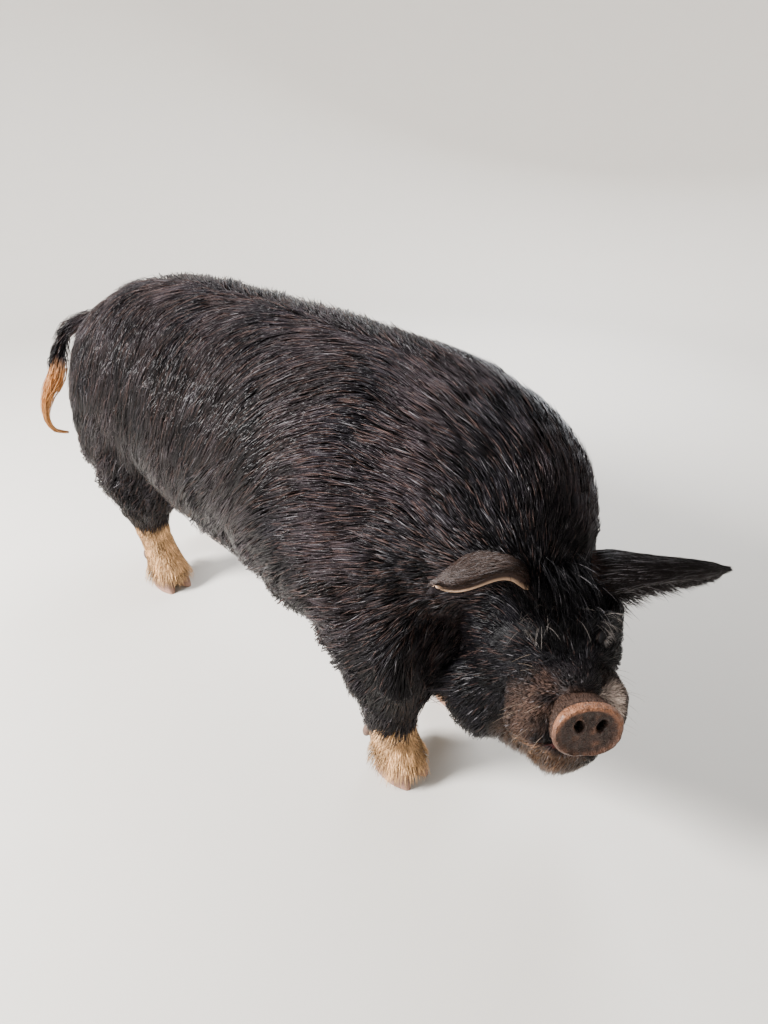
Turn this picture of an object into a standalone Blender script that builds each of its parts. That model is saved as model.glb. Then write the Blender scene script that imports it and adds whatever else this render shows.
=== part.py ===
"""A hairy black pig with tan feet, standing with its head low and turned to its right.

Life-size museum model, in metres. It faces -Y, its left side is +X and +Z is up. Every surface is the
outer tips of the coat, so the skin of the animal would lie a coat's depth inside it. The flesh is lofted
whole, fused and parted into named pieces by thin cuts; horn, eyes, ears and tail are pieces of their own.
"""

import math

import bmesh
import bpy
import numpy as np
from mathutils import Euler, Matrix, Vector

# ---------------------------------------------------------------- driving sizes, in metres and degrees
GAP = 0.0003  # air left between two pieces that meet
VOXEL = 0.0065  # cell of the grid that fuses the lofts
SMOOTHING = 14  # passes that soften the seams between the lofts
FLESH_TRIANGLES = 4100  # what the fused flesh keeps

FRONT_FEET_Y = -0.250  # place of the near feet along the body
HIND_FEET_Y = 0.450
CORONET = 0.034  # height of the hoofs, where the hair begins

HEAD_PITCH = 6.0  # nose below the level
HEAD_TURN = 35.0  # to the animal's right
HEAD_ROLL = 7.0  # left side down
HEAD_SIZE = 0.80  # of the head's own tables
HEAD_AT = (0.034, -0.397, 0.350)  # middle of the skull, between the ears

EYE_RADIUS = 0.0105
EYE_DEPTH = 0.0065  # centre of the eyeball under the coat's surface
EYE_FROM = (0.13, -0.150, 0.065)  # head frame: the eye lies on the line from here to the next point
EYE_TO = (0.020, -0.095, 0.000)

SHOULDER_CUT = -0.215  # y of the plane between trunk and neck
NAPE_CUT = 0.030  # head frame: y of the plane between neck and head
NAPE_LEAN = 22.0  # tilt of that plane, its top towards the nose
MOUTH_LINE = -0.070  # head frame: height of the top of the lower jaw
MOUTH_CORNER = -0.150  # head frame: y of the back of the lower jaw
DISC_CUT = -0.235  # head frame: y of the plane behind the snout disc
DISC_LEAN = 20.0  # tilt of that plane, its top towards the forehead
DISC_CENTRE = (0, DISC_CUT, -0.031)
HEAD_BLOCK = ((-0.16, -0.40, -0.290), (0.20, NAPE_CUT, 0.20))  # corners, in the head's frame leant by the nape
JAW_BLOCK = ((-0.30, -0.45, -0.40), (0.30, MOUTH_CORNER, MOUTH_LINE))  # in the head's frame
DISC_BLOCK = ((-0.10, -0.15, -0.10), (0.10, 0.0, 0.10))  # in the disc's own frame
NECK_BLOCK = ((-0.40, -0.70, 0.150), (0.40, SHOULDER_CUT, 0.90))
HOOF_BLOCK = ((-0.40, -0.70, -0.10), (0.40, 0.90, CORONET))  # cleared for the claws
LEG_INNER = 0.022  # the legs' blocks run from this far from the middle line
LEG_OUTER = 0.300
NOSTRIL_AT = (0.017, -0.2515, -0.024)  # head frame
NOSTRIL_RADII = (0.0065, 0.009, 0.0085)
TAIL_SPLIT = 0.420  # height at which the black dock gives way to the ginger switch
SWITCH_BLOCK = ((-0.5, 0.5, 0.0), (0.5, 1.2, TAIL_SPLIT))

# ---------------------------------------------------------------- tables of sections
# Trunk, from rump to throat: y, height of the middle, half width, radius above, radius below
TRUNK = (
    (0.680, 0.435, 0.030, 0.045, 0.060),
    (0.662, 0.430, 0.095, 0.112, 0.130),
    (0.608, 0.418, 0.152, 0.170, 0.165),
    (0.525, 0.410, 0.184, 0.212, 0.165),
    (0.410, 0.406, 0.198, 0.238, 0.150),
    (0.240, 0.405, 0.204, 0.249, 0.148),
    (0.050, 0.402, 0.210, 0.252, 0.160),
    (-0.100, 0.396, 0.212, 0.257, 0.184),
    (-0.190, 0.390, 0.200, 0.252, 0.188),
    (-0.260, 0.378, 0.158, 0.212, 0.160),
    (-0.310, 0.365, 0.095, 0.130, 0.100),
    (-0.325, 0.360, 0.035, 0.050, 0.040),
)
# Neck, from inside the shoulders to inside the skull: x, y, z, half width, radius above, radius below
NECK = (
    (0.006, -0.130, 0.405, 0.192, 0.240, 0.190),
    (0.024, -0.210, 0.405, 0.182, 0.234, 0.188),
    (0.042, -0.285, 0.392, 0.156, 0.208, 0.176),
    (0.050, -0.345, 0.365, 0.124, 0.160, 0.152),
    (0.048, -0.390, 0.340, 0.084, 0.098, 0.104),
)
# Head in its own frame, nose along -Y: y, height of the middle, half width, above, below, lean of the section
HEAD = (
    (0.085, 0.000, 0.050, 0.050, 0.080, 0),
    (0.060, 0.000, 0.098, 0.084, 0.165, 0),
    (0.010, -0.005, 0.122, 0.096, 0.230, 0),
    (-0.040, -0.015, 0.126, 0.094, 0.240, 0),
    (-0.085, -0.028, 0.118, 0.083, 0.228, 0),
    (-0.125, -0.038, 0.098, 0.062, 0.192, 3),
    (-0.165, -0.040, 0.076, 0.050, 0.156, 8),
    (-0.200, -0.036, 0.062, 0.044, 0.126, 14),
    (-0.232, -0.031, 0.050, 0.040, 0.062, 20),
    (-0.250, -0.030, 0.046, 0.037, 0.040, 20),
)
JOWL_AT = (0.080, -0.025, -0.176)  # middle of the cheek pouch, in the head's frame
JOWL_RADII = (0.074, 0.105, 0.090)
# Leg, from the ground up: x outward from the middle line, y from its foot, z, half width, radius fore, aft
FRONT_LEG = (
    (0.092, -0.004, 0.010, 0.043, 0.056, 0.038),
    (0.092, 0.000, 0.035, 0.042, 0.052, 0.038),
    (0.093, 0.003, 0.055, 0.040, 0.046, 0.040),
    (0.095, 0.008, 0.085, 0.036, 0.038, 0.040),
    (0.098, 0.008, 0.120, 0.040, 0.042, 0.042),
    (0.103, 0.000, 0.160, 0.050, 0.052, 0.060),
    (0.108, 0.004, 0.210, 0.064, 0.070, 0.085),
    (0.106, 0.020, 0.270, 0.075, 0.082, 0.110),
    (0.095, 0.045, 0.350, 0.080, 0.080, 0.115),
    (0.080, 0.065, 0.430, 0.060, 0.060, 0.080),
)
HIND_LEG = (
    (0.098, -0.004, 0.010, 0.043, 0.058, 0.036),
    (0.098, 0.000, 0.035, 0.042, 0.054, 0.036),
    (0.099, 0.004, 0.055, 0.039, 0.046, 0.038),
    (0.102, 0.012, 0.090, 0.034, 0.036, 0.038),
    (0.106, 0.020, 0.130, 0.034, 0.036, 0.040),
    (0.110, 0.020, 0.170, 0.041, 0.048, 0.050),
    (0.114, 0.008, 0.210, 0.055, 0.070, 0.072),
    (0.115, 0.008, 0.260, 0.074, 0.100, 0.118),
    (0.110, 0.025, 0.330, 0.088, 0.125, 0.145),
    (0.093, 0.055, 0.420, 0.092, 0.135, 0.145),
    (0.070, 0.070, 0.500, 0.075, 0.105, 0.115),
)
LEGS = {  # name: table, side, y of the foot, reach of its block fore, aft and up
    "front_right": (FRONT_LEG, -1, FRONT_FEET_Y, 0.120, 0.130, 0.235),
    "front_left": (FRONT_LEG, 1, FRONT_FEET_Y + 0.040, 0.120, 0.130, 0.235),
    "hind_right": (HIND_LEG, -1, HIND_FEET_Y, 0.140, 0.220, 0.255),
    "hind_left": (HIND_LEG, 1, HIND_FEET_Y + 0.080, 0.140, 0.220, 0.255),
}
# Hoof claw, from the sole up: x from the claw's middle, y from the foot, z, half width, radius fore, aft
CLAW = (
    (0.000, -0.010, 0.0000, 0.0165, 0.040, 0.030),
    (0.000, -0.009, 0.0060, 0.0180, 0.041, 0.031),
    (0.000, -0.006, 0.0200, 0.0175, 0.036, 0.030),
    (0.000, -0.003, CORONET - GAP, 0.0165, 0.030, 0.028),
)
CLAW_SPREAD = 0.0190  # middle of each claw from the middle of the foot
CLAW_SPLAY = 5.0  # turn of each claw outwards
DEWCLAW_AT = (0.020, 0.046, 0.058)  # from the foot's middle: across, aft, up
DEWCLAW_RADII = (0.0095, 0.013, 0.017)
# Ear in its own frame, tip along +X, front edge -Y: x, y, z, half chord, half thickness, curl of the edges
EAR = (
    (-0.015, 0.000, 0.000, 0.034, 0.010, 0.000),
    (0.010, 0.000, 0.004, 0.042, 0.010, -0.006),
    (0.045, -0.002, 0.004, 0.043, 0.009, -0.010),
    (0.085, -0.002, -0.002, 0.035, 0.008, -0.010),
    (0.120, 0.000, -0.014, 0.023, 0.007, -0.006),
    (0.142, 0.002, -0.026, 0.012, 0.006, -0.002),
    (0.152, 0.003, -0.033, 0.004, 0.004, 0.000),
)
EARS = {  # name: side, root in the head's frame, swing forward, lift, front edge down, size
    "right": (-1, (-0.078, -0.030, 0.092), 26, 20, 0, 0.84),
    "left": (1, (0.080, -0.028, 0.080), 18, 10, 40, 0.94),
}
# Tail, from dock to tip: x, y, z, half width, above, below
TAIL = (
    (-0.010, 0.590, 0.510, 0.022, 0.022, 0.022),
    (-0.042, 0.665, 0.532, 0.021, 0.021, 0.021),
    (-0.078, 0.704, 0.522, 0.019, 0.018, 0.018),
    (-0.108, 0.716, 0.490, 0.018, 0.016, 0.016),
    (-0.128, 0.714, 0.450, 0.018, 0.016, 0.016),
    (-0.150, 0.705, 0.412, 0.018, 0.016, 0.016),
    (-0.176, 0.702, 0.378, 0.018, 0.016, 0.016),
    (-0.186, 0.710, 0.335, 0.018, 0.015, 0.015),
    (-0.178, 0.712, 0.302, 0.012, 0.010, 0.010),
    (-0.165, 0.705, 0.286, 0.005, 0.004, 0.004),
)


def rounded(values, steps):
    """Catmull-Rom curve through the rows of values, with steps points from each row to the next."""
    rows = np.asarray(values, float)
    padded = np.vstack([2 * rows[0] - rows[1], rows, 2 * rows[-1] - rows[-2]])
    t = np.linspace(0, 1, steps, endpoint=False)[:, None]
    spans = []
    for a, b, c, d in zip(padded, padded[1:], padded[2:], padded[3:]):
        bend = (2 * a - 5 * b + 4 * c - d) * t**2 + (3 * b - a - 3 * c + d) * t**3
        spans.append(0.5 * (2 * b + (c - a) * t + bend))
    return np.vstack([*spans, rows[-1:]])


def link(name, mesh, collection):
    obj = bpy.data.objects.new(name, mesh)
    collection.objects.link(obj)
    return obj


def loft(name, rings, collection, around=36, power=2.2):
    """Closed skin over superelliptic rings: each is centre, side, up, half width, above, below and curl."""
    angle = np.linspace(0, 2 * math.pi, around, endpoint=False)
    across = np.sign(np.cos(angle)) * np.abs(np.cos(angle)) ** (2 / power)
    height = np.sign(np.sin(angle)) * np.abs(np.sin(angle)) ** (2 / power)
    bm = bmesh.new()
    loops = []
    for centre, side, up, w, a, b, curl in rings:
        rise = np.where(height > 0, height * a, height * b) + curl * across**2
        points = np.asarray(centre) + np.outer(across * w, side) + np.outer(rise, up)
        loops.append([bm.verts.new(p) for p in points])
    for low, high in zip(loops, loops[1:]):
        for i in range(around):
            j = (i + 1) % around
            bm.faces.new((low[i], low[j], high[j], high[i]))
    bm.faces.new(loops[0])
    bm.faces.new(loops[-1])
    bmesh.ops.recalc_face_normals(bm, faces=bm.faces)
    mesh = bpy.data.meshes.new(name)
    bm.to_mesh(mesh)
    bm.free()
    return link(name, mesh, collection)


def barrel(collection):
    rings = [((0, y, z), (1, 0, 0), (0, 0, 1), w, a, b, 0) for y, z, w, a, b in rounded(TRUNK, 5)]
    return loft("barrel", rings, collection, around=48, power=2.1)


def head_turn():
    return Euler((math.radians(HEAD_PITCH), math.radians(HEAD_ROLL), math.radians(-HEAD_TURN))).to_matrix().to_4x4()


def head_frame():
    return Matrix.Translation(HEAD_AT) @ head_turn() @ Matrix.Scale(HEAD_SIZE, 4)


def skull(collection):
    rings = []
    for y, z, w, a, b, lean in rounded(HEAD, 5):
        lean = math.radians(lean)
        rings.append(((0, y, z), (1, 0, 0), (0, math.sin(lean), math.cos(lean)), w, a, b, 0))
    obj = loft("skull", rings, collection)
    obj.data.transform(head_frame())
    return obj


def ball(name, place, radii, collection, segments=32):
    """Ellipsoid with the given radii along the axes of the frame that place gives."""
    bm = bmesh.new()
    bmesh.ops.create_uvsphere(bm, u_segments=segments, v_segments=segments // 2, radius=1.0)
    mesh = bpy.data.meshes.new(name)
    bm.to_mesh(mesh)
    bm.free()
    mesh.transform(place @ Matrix.Diagonal((*radii, 1)))
    return link(name, mesh, collection)


def block(name, low, high, collection, place=None):
    """Box between two corners, in the frame that place gives."""
    bm = bmesh.new()
    bmesh.ops.create_cube(bm, size=1.0)
    mesh = bpy.data.meshes.new(name)
    bm.to_mesh(mesh)
    bm.free()
    size = [b - a for a, b in zip(low, high)]
    middle = [(a + b) / 2 for a, b in zip(low, high)]
    mesh.transform((place or Matrix()) @ Matrix.Translation(middle) @ Matrix.Diagonal((*size, 1)))
    return link(name, mesh, collection)


def along_path(name, table, collection, steps=5, around=36):
    """Loft square to a curved path, from rows of x, y, z, half width, radius above and below."""
    rows = rounded(table, steps)
    centres = rows[:, :3]
    tangent = np.gradient(centres, axis=0)
    tangent /= np.linalg.norm(tangent, axis=1)[:, None]
    side = np.cross(tangent, (0, 0, 1.0))
    side /= np.linalg.norm(side, axis=1)[:, None]
    up = np.cross(side, tangent)
    rings = [(c, s, u, *row[3:6], 0) for c, s, u, row in zip(centres, side, up, rows)]
    return loft(name, rings, collection, around)


def leg(name, table, side, foot_y, collection):
    rings = []
    for x, y, z, w, fore, aft in rounded(table, 4):
        rings.append(((x * side, y + foot_y, z), (1, 0, 0), (0, 1, 0), w, aft, fore, 0))
    return loft(name, rings, collection)


def ear(name, side, root, swing, lift, dip, size, collection):
    rings = []
    for x, y, z, w, t, curl in rounded(EAR, 2):
        rings.append(((x, y, z), (0, 1, 0), (0, 0, 1), w, t, t, curl))
    obj = loft(name, rings, collection, around=16, power=2.0)
    # Its tip is along +X: tilt the blade about it, lift it, swing it forward, then mirror for the right side
    pose = Euler((math.radians(dip), math.radians(-lift), math.radians(-swing))).to_matrix().to_4x4()
    mirror = Matrix.Diagonal((side, 1, 1, 1))
    heading = Matrix.Rotation(math.radians(-HEAD_TURN), 4, "Z")
    place = Matrix.Translation(head_frame() @ Vector(root))
    obj.data.transform(place @ heading @ mirror @ pose @ Matrix.Scale(size, 4))
    face_outwards(obj.data)
    return obj


def face_outwards(mesh):
    bm = bmesh.new()
    bm.from_mesh(mesh)
    bmesh.ops.recalc_face_normals(bm, faces=bm.faces)
    bm.to_mesh(mesh)
    bm.free()


def claw(name, x, y, splay, collection):
    rings = [((cx, cy, z), (1, 0, 0), (0, 1, 0), w, aft, fore, 0) for cx, cy, z, w, fore, aft in CLAW]
    obj = loft(name, rings, collection, around=10, power=2.3)
    obj.data.transform(Matrix.Translation((x, y, 0)) @ Matrix.Rotation(math.radians(splay), 4, "Z"))
    return obj


def settled(obj):
    """The mesh that an object's modifiers give."""
    depsgraph = bpy.context.evaluated_depsgraph_get()
    return bpy.data.meshes.new_from_object(obj.evaluated_get(depsgraph))


def fused(sources, collection):
    """One closed skin over all the lofts, softened where they meet and thinned to the triangles it may keep."""
    bm = bmesh.new()
    for source in sources:
        bm.from_mesh(source.data)
        bpy.data.objects.remove(source)
    mesh = bpy.data.meshes.new("flesh")
    bm.to_mesh(mesh)
    bm.free()
    obj = link("flesh", mesh, collection)
    remesh = obj.modifiers.new("fuse", "REMESH")
    remesh.mode = "VOXEL"
    remesh.voxel_size = VOXEL
    soften = obj.modifiers.new("soften", "SMOOTH")
    soften.factor = 0.5
    soften.iterations = SMOOTHING
    dense = settled(obj)
    thin = obj.modifiers.new("thin", "DECIMATE")
    thin.ratio = FLESH_TRIANGLES / (2 * len(dense.polygons))
    thin.use_collapse_triangulate = True
    final = settled(obj)
    obj.modifiers.clear()
    obj.data = final
    return obj


def grown(source, name, collection):
    """Copy of a solid that is larger by the gap, to trim what stands against it."""
    obj = link(name, source.data.copy(), collection)
    swell = obj.modifiers.new("gap", "DISPLACE")
    swell.mid_level = 0.0
    swell.strength = GAP
    obj.data = settled(obj)
    obj.modifiers.clear()
    return obj


def cut(obj, *cutters, operation="DIFFERENCE"):
    for cutter in cutters:
        step = obj.modifiers.new(cutter.name, "BOOLEAN")
        step.solver = "EXACT"
        step.operation = operation
        step.object = cutter


def eye_centre(flesh, side):
    """Where the line of sight of one side meets the flesh, sunk by the eye's depth."""
    start = head_frame() @ Vector((side * EYE_FROM[0], *EYE_FROM[1:]))
    end = head_frame() @ Vector((side * EYE_TO[0], *EYE_TO[1:]))
    _, spot, normal, _ = flesh.ray_cast(start, (end - start).normalized())
    return spot - normal * EYE_DEPTH


def paint(name, colour, roughness):
    material = bpy.data.materials.new(name)
    material.use_nodes = True
    shader = material.node_tree.nodes["Principled BSDF"]
    shader.inputs["Base Color"].default_value = (*colour, 1.0)
    shader.inputs["Roughness"].default_value = roughness
    shader.inputs["Metallic"].default_value = 0.0
    return material


def main():
    for obj in list(bpy.data.objects):
        bpy.data.objects.remove(obj)
    pig = bpy.data.collections.new("pig")
    guides = bpy.data.collections.new("cutters")
    bpy.context.scene.collection.children.link(pig)
    bpy.context.scene.collection.children.link(guides)
    frame = head_frame()

    # The flesh, whole
    lofts = [barrel(guides), along_path("throat", NECK, guides), skull(guides)]
    for side in (-1, 1):
        pouch = frame @ Matrix.Translation((side * JOWL_AT[0], JOWL_AT[1], JOWL_AT[2]))
        lofts.append(ball("jowl", pouch, JOWL_RADII, guides))
    for name, (table, side, foot_y, *_) in LEGS.items():
        lofts.append(leg("limb_" + name, table, side, foot_y, guides))
    flesh = fused(lofts, guides)
    shell = grown(flesh, "flesh_and_gap", guides)

    # Blocks that part it, each with a twin that is larger by the gap
    blocks = {}

    def part_by(name, corners, place=None, scale=1.0):
        low, high = corners
        pad = GAP / scale
        blocks[name] = block(name + "_block", low, high, guides, place)
        wide_low = [v - pad for v in low]
        wide_high = [v + pad for v in high]
        blocks[name + "_and_gap"] = block(name + "_block_and_gap", wide_low, wide_high, guides, place)

    tilt = Matrix.Translation(DISC_CENTRE) @ Matrix.Rotation(math.radians(-DISC_LEAN), 4, "X")
    nape = frame @ Matrix.Rotation(math.radians(NAPE_LEAN), 4, "X")
    part_by("head", HEAD_BLOCK, nape, HEAD_SIZE)
    part_by("jaw", JAW_BLOCK, frame, HEAD_SIZE)
    part_by("disc", DISC_BLOCK, frame @ tilt, HEAD_SIZE)
    part_by("neck", NECK_BLOCK)
    part_by("hoofs", HOOF_BLOCK)
    for name, (_, side, foot_y, fore, aft, top) in LEGS.items():
        left, right = sorted((side * LEG_INNER, side * LEG_OUTER))
        part_by("leg_" + name, ((left, foot_y - fore, CORONET), (right, foot_y + aft, top)))
    legs = ["leg_" + name for name in LEGS]

    def piece(name, inside, outside, material):
        obj = link(name, flesh.data.copy(), pig)
        cut(obj, *[blocks[b] for b in inside], operation="INTERSECT")
        cut(obj, *[blocks[b + "_and_gap"] for b in outside])
        obj.data.materials.clear()
        obj.data.materials.append(material)
        return obj

    coat = paint("black_coat", (0.035, 0.028, 0.026), 0.55)
    face = paint("face_hair", (0.030, 0.025, 0.024), 0.60)
    tan = paint("leg_hair", (0.060, 0.045, 0.036), 0.60)
    ginger = paint("ginger_switch", (0.42, 0.22, 0.10), 0.60)
    rind = paint("snout_rind", (0.20, 0.12, 0.085), 0.55)
    horn = paint("hoof_horn", (0.42, 0.32, 0.26), 0.45)
    glass = paint("eye", (0.030, 0.018, 0.012), 0.08)
    leather = paint("ear_leather", (0.075, 0.045, 0.035), 0.60)

    piece("trunk", [], ["head", "neck", "hoofs", *legs], coat)
    piece("neck", ["neck"], ["head", *legs], coat)
    head = piece("head", ["head"], ["jaw", "disc"], face)
    piece("lower_jaw", ["head", "jaw"], ["disc"], face)
    disc = piece("snout_disc", ["head", "disc"], [], rind)
    for name in legs:
        piece(name, [name], ["head"], tan)

    # Nostrils and eyes
    for side, label in ((-1, "right"), (1, "left")):
        nostril = frame @ Matrix.Translation((side * NOSTRIL_AT[0], *NOSTRIL_AT[1:]))
        cut(disc, ball("nostril_" + label, nostril, NOSTRIL_RADII, guides, 12))
        spot = Matrix.Translation(eye_centre(flesh, side))
        cut(head, ball("socket_" + label, spot, [EYE_RADIUS + GAP] * 3, guides, 12))
        eyeball = ball("eye_" + label, spot, [EYE_RADIUS] * 3, pig, 12)
        eyeball.data.materials.append(glass)

    # Ears, tail, claws and dewclaws, trimmed where they stand against the flesh
    for name, (side, root, swing, lift, dip, size) in EARS.items():
        obj = ear("ear_" + name, side, root, swing, lift, dip, size, pig)
        obj.data.materials.append(leather)
        cut(obj, shell)
    tail = along_path("tail_dock", TAIL, pig, steps=2, around=10)
    switch = link("tail_switch", tail.data.copy(), pig)
    part_by("switch", SWITCH_BLOCK)
    cut(tail, shell, blocks["switch_and_gap"])
    cut(switch, blocks["switch"], operation="INTERSECT")
    tail.data.materials.append(coat)
    switch.data.materials.append(ginger)
    for name, (table, side, foot_y, *_) in LEGS.items():
        x = side * table[0][0]
        for label, hand in (("inner", -side), ("outer", side)):
            toe = claw(f"claw_{name}_{label}", x + hand * CLAW_SPREAD, foot_y, hand * CLAW_SPLAY, pig)
            toe.data.materials.append(horn)
            across, aft, up = DEWCLAW_AT
            spot = Matrix.Translation((x + hand * across, foot_y + aft, up))
            dew = ball(f"dewclaw_{name}_{label}", spot, DEWCLAW_RADII, pig, 8)
            dew.data.materials.append(horn)
            cut(dew, shell)

    for obj in guides.objects:
        obj.hide_render = True
        obj.display_type = "WIRE"
    centre(pig, guides)
    for obj in pig.objects:
        if obj.type == "MESH":
            obj.data.shade_smooth()


def centre(pig, guides):
    """Hang everything on one empty, moved so that the model's box stands centred over the origin."""
    low = np.full(3, np.inf)
    high = np.full(3, -np.inf)
    for obj in pig.objects:
        mesh = settled(obj)
        points = np.empty(len(mesh.vertices) * 3, np.float32)
        mesh.vertices.foreach_get("co", points)
        low = np.minimum(low, points.reshape(-1, 3).min(axis=0))
        high = np.maximum(high, points.reshape(-1, 3).max(axis=0))
        bpy.data.meshes.remove(mesh)
    root = bpy.data.objects.new("root", None)
    root.location = (-(low[0] + high[0]) / 2, -(low[1] + high[1]) / 2, -low[2])
    pig.objects.link(root)
    for obj in [*pig.objects, *guides.objects]:
        if obj is not root:
            obj.parent = root


main()
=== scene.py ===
"""Looks of a hairy black pig with tan feet: skin, snout, eyes, ears, hoofs, coat and stage."""

import math

import bmesh
import bpy
import numpy as np
from bpy.props import FloatProperty, FloatVectorProperty, PointerProperty
from mathutils import Euler, Matrix, Vector


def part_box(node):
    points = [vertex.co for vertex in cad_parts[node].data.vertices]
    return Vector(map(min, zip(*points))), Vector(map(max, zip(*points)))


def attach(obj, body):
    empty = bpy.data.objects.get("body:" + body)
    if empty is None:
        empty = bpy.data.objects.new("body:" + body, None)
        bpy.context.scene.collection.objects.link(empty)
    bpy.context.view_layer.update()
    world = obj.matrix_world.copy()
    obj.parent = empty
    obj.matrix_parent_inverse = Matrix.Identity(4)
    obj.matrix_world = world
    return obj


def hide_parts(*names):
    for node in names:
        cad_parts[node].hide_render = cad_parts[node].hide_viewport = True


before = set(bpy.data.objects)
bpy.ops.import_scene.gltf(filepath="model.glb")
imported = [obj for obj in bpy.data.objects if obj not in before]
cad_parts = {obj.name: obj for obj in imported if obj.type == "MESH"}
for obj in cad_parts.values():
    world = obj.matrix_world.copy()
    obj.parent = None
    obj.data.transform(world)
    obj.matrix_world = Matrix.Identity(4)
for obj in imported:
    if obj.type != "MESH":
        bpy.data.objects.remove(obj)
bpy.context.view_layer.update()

bl_info = {
    "name": "Hairy Pig",
    "version": (1, 0, 0),
    "blender": (4, 5, 0),
    "location": "3D View > Sidebar > Pig",
    "description": "Dresses the solids of a life-size pig with skin, coat, snout, eyes and hoofs",
    "category": "Object",
}

SIDES = {"right": -1, "left": 1}
FEET = ("front_right", "front_left", "hind_right", "hind_left")
HANDS = ("inner", "outer")
FLESH = ("trunk", "neck", "head", "lower_jaw", *("leg_" + foot for foot in FEET), "tail_dock")
TURN = 2 * math.pi
SEEDS = {"coat": 7, "snout": 5, "ears": 31, "tail": 17, "whiskers": 23}


def box(node):
    """Lowest and highest corner of a solid, as arrays."""
    low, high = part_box(node)
    return np.array(low), np.array(high)


def middle(node):
    low, high = box(node)
    return (low + high) / 2


FOOT_AT = {f: (middle(f"claw_{f}_inner") + middle(f"claw_{f}_outer")) / 2 for f in FEET}
FRONT_FEET = (FOOT_AT["front_right"] + FOOT_AT["front_left"]) / 2
SHOULDER_Y = box("trunk")[0][1]
RUMP_Y = box("trunk")[1][1]
BARREL_Z = 0.40  # height of the trunk's long axis
EYE_AT = {s: middle("eye_" + s) for s in SIDES}
EYE_RADIUS = float((box("eye_right")[1] - box("eye_right")[0])[0] / 2)

# The head's frame: nose along -Y, in units of the head's own tables
HEAD_AT = np.array((FRONT_FEET[0] + 0.034, FRONT_FEET[1] - 0.1547, 0.350))
HEAD_TURN, HEAD_PITCH, HEAD_ROLL, HEAD_SIZE = 35.0, 6.0, 7.0, 0.80
HEAD_TILT = Euler([math.radians(v) for v in (HEAD_PITCH, HEAD_ROLL, -HEAD_TURN)])
HEAD = (
    Matrix.Translation(HEAD_AT) @ HEAD_TILT.to_matrix().to_4x4() @ Matrix.Scale(HEAD_SIZE, 4)
)
TO_HEAD = HEAD.inverted()
DISC_Y = -0.235  # plane where the snout disc meets the muzzle
DISC_LEAN = 20.0  # tilt of that plane, its top towards the forehead
DISC_Z = -0.031  # height of its middle


# ---- arrays
def random_of(piece):
    """Random numbers of a piece, the same on each run."""
    return np.random.default_rng(SEEDS[piece])


def step(low, high, x):
    """Smooth step: 0 below low, 1 above high, eased as 3t^2 - 2t^3; low may be above high."""
    t = np.clip((np.asarray(x, float) - low) / (high - low), 0, 1)
    return t * t * (3 - 2 * t)


def between(a, b, share):
    """From a at 0 to b at 1."""
    return a + (b - a) * share


def bell(d, width, power=2):
    """Bell of a distance: exp of minus its share of the width to an even power."""
    return np.exp(-((d / width) ** power))


def length_of(v):
    return np.linalg.norm(v, axis=-1)


def unit(v):
    return v / np.maximum(length_of(v)[..., None], 1e-9)


def off(v, n):
    """Part of each direction that lies along the surface with the normals n."""
    return v - n * np.sum(v * n, axis=1, keepdims=True)


def places(x, y, z):
    """Places or directions from their three parts, each an array or a number."""
    return np.stack(np.broadcast_arrays(x, y, z), axis=-1)


def moved(matrix, points):
    """Points carried by a 4x4 matrix."""
    m = np.array(matrix)
    return np.asarray(points) @ m[:3, :3].T + m[:3, 3]


def turned(matrix, vectors):
    """Directions carried by the turn of a 4x4 matrix, kept at unit length."""
    return unit(np.asarray(vectors, float) @ np.array(matrix)[:3, :3].T)


def drift(points, size, seed):
    """Smooth noise from -1 to 1: mean of sines of the place along random directions."""
    rng = np.random.default_rng(seed)
    total = 0
    for _ in range(5):
        wave = unit(rng.normal(size=3)) * TURN / size * rng.uniform(0.6, 1.5)
        total = total + np.sin(points @ wave + rng.uniform(0, TURN))
    return np.clip(total / 2.6, -1, 1)


def ring(angle, power, a, b):
    """Superellipse: signed cosine and sine, each to the power 2/power, times a and b."""
    c, s = np.cos(angle), np.sin(angle)
    return a * np.sign(c) * np.abs(c) ** (2 / power), b * np.sign(s) * np.abs(s) ** (2 / power)


def round_sight(radius, polar, turn):
    """Places on a ball whose pole is the line of sight, -Y: angle from it, and turn about it."""
    across, up = np.sin(polar) * np.cos(turn), np.sin(polar) * np.sin(turn)
    return np.stack([radius * across, -radius * np.cos(polar), radius * up], axis=-1)


def along_table(table, t):
    """Catmull-Rom curve, cubic in each span, through a table's rows at shares t of its length."""
    table = np.array(table, float)
    padded = np.vstack([2 * table[0] - table[1], table, 2 * table[-1] - table[-2]])
    at = np.clip(t, 0, 1) * (len(table) - 1)
    k = np.minimum(at.astype(int), len(table) - 2)
    f = (at - k)[..., None]
    a, b, c, d = (padded[k + j] for j in range(4))
    bend = (2 * a - 5 * b + 4 * c - d) * f**2 + (3 * b - a - 3 * c + d) * f**3
    return 0.5 * (2 * b + (c - a) * f + bend)


def mix(a, b, share):
    """Rows from a to b by their shares."""
    share = np.asarray(share)[:, None]
    return np.asarray(a) * (1 - share) + np.asarray(b) * share


# ---- meshes
def read(items, name, width, kind=np.float32):
    values = np.empty(len(items) * width, kind)
    items.foreach_get(name, values)
    return values.reshape(-1, width)


def surface(obj):
    """Vertex places, vertex normals and triangle corners of a mesh object."""
    mesh = obj.data
    mesh.calc_loop_triangles()
    points = read(mesh.vertices, "co", 3).astype(float)
    normals = read(mesh.vertices, "normal", 3).astype(float)
    return points, normals, read(mesh.loop_triangles, "vertices", 3, np.int32)


def new_object(name, data):
    obj = bpy.data.objects.new(name, data)
    bpy.context.scene.collection.objects.link(obj)
    return obj


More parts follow.
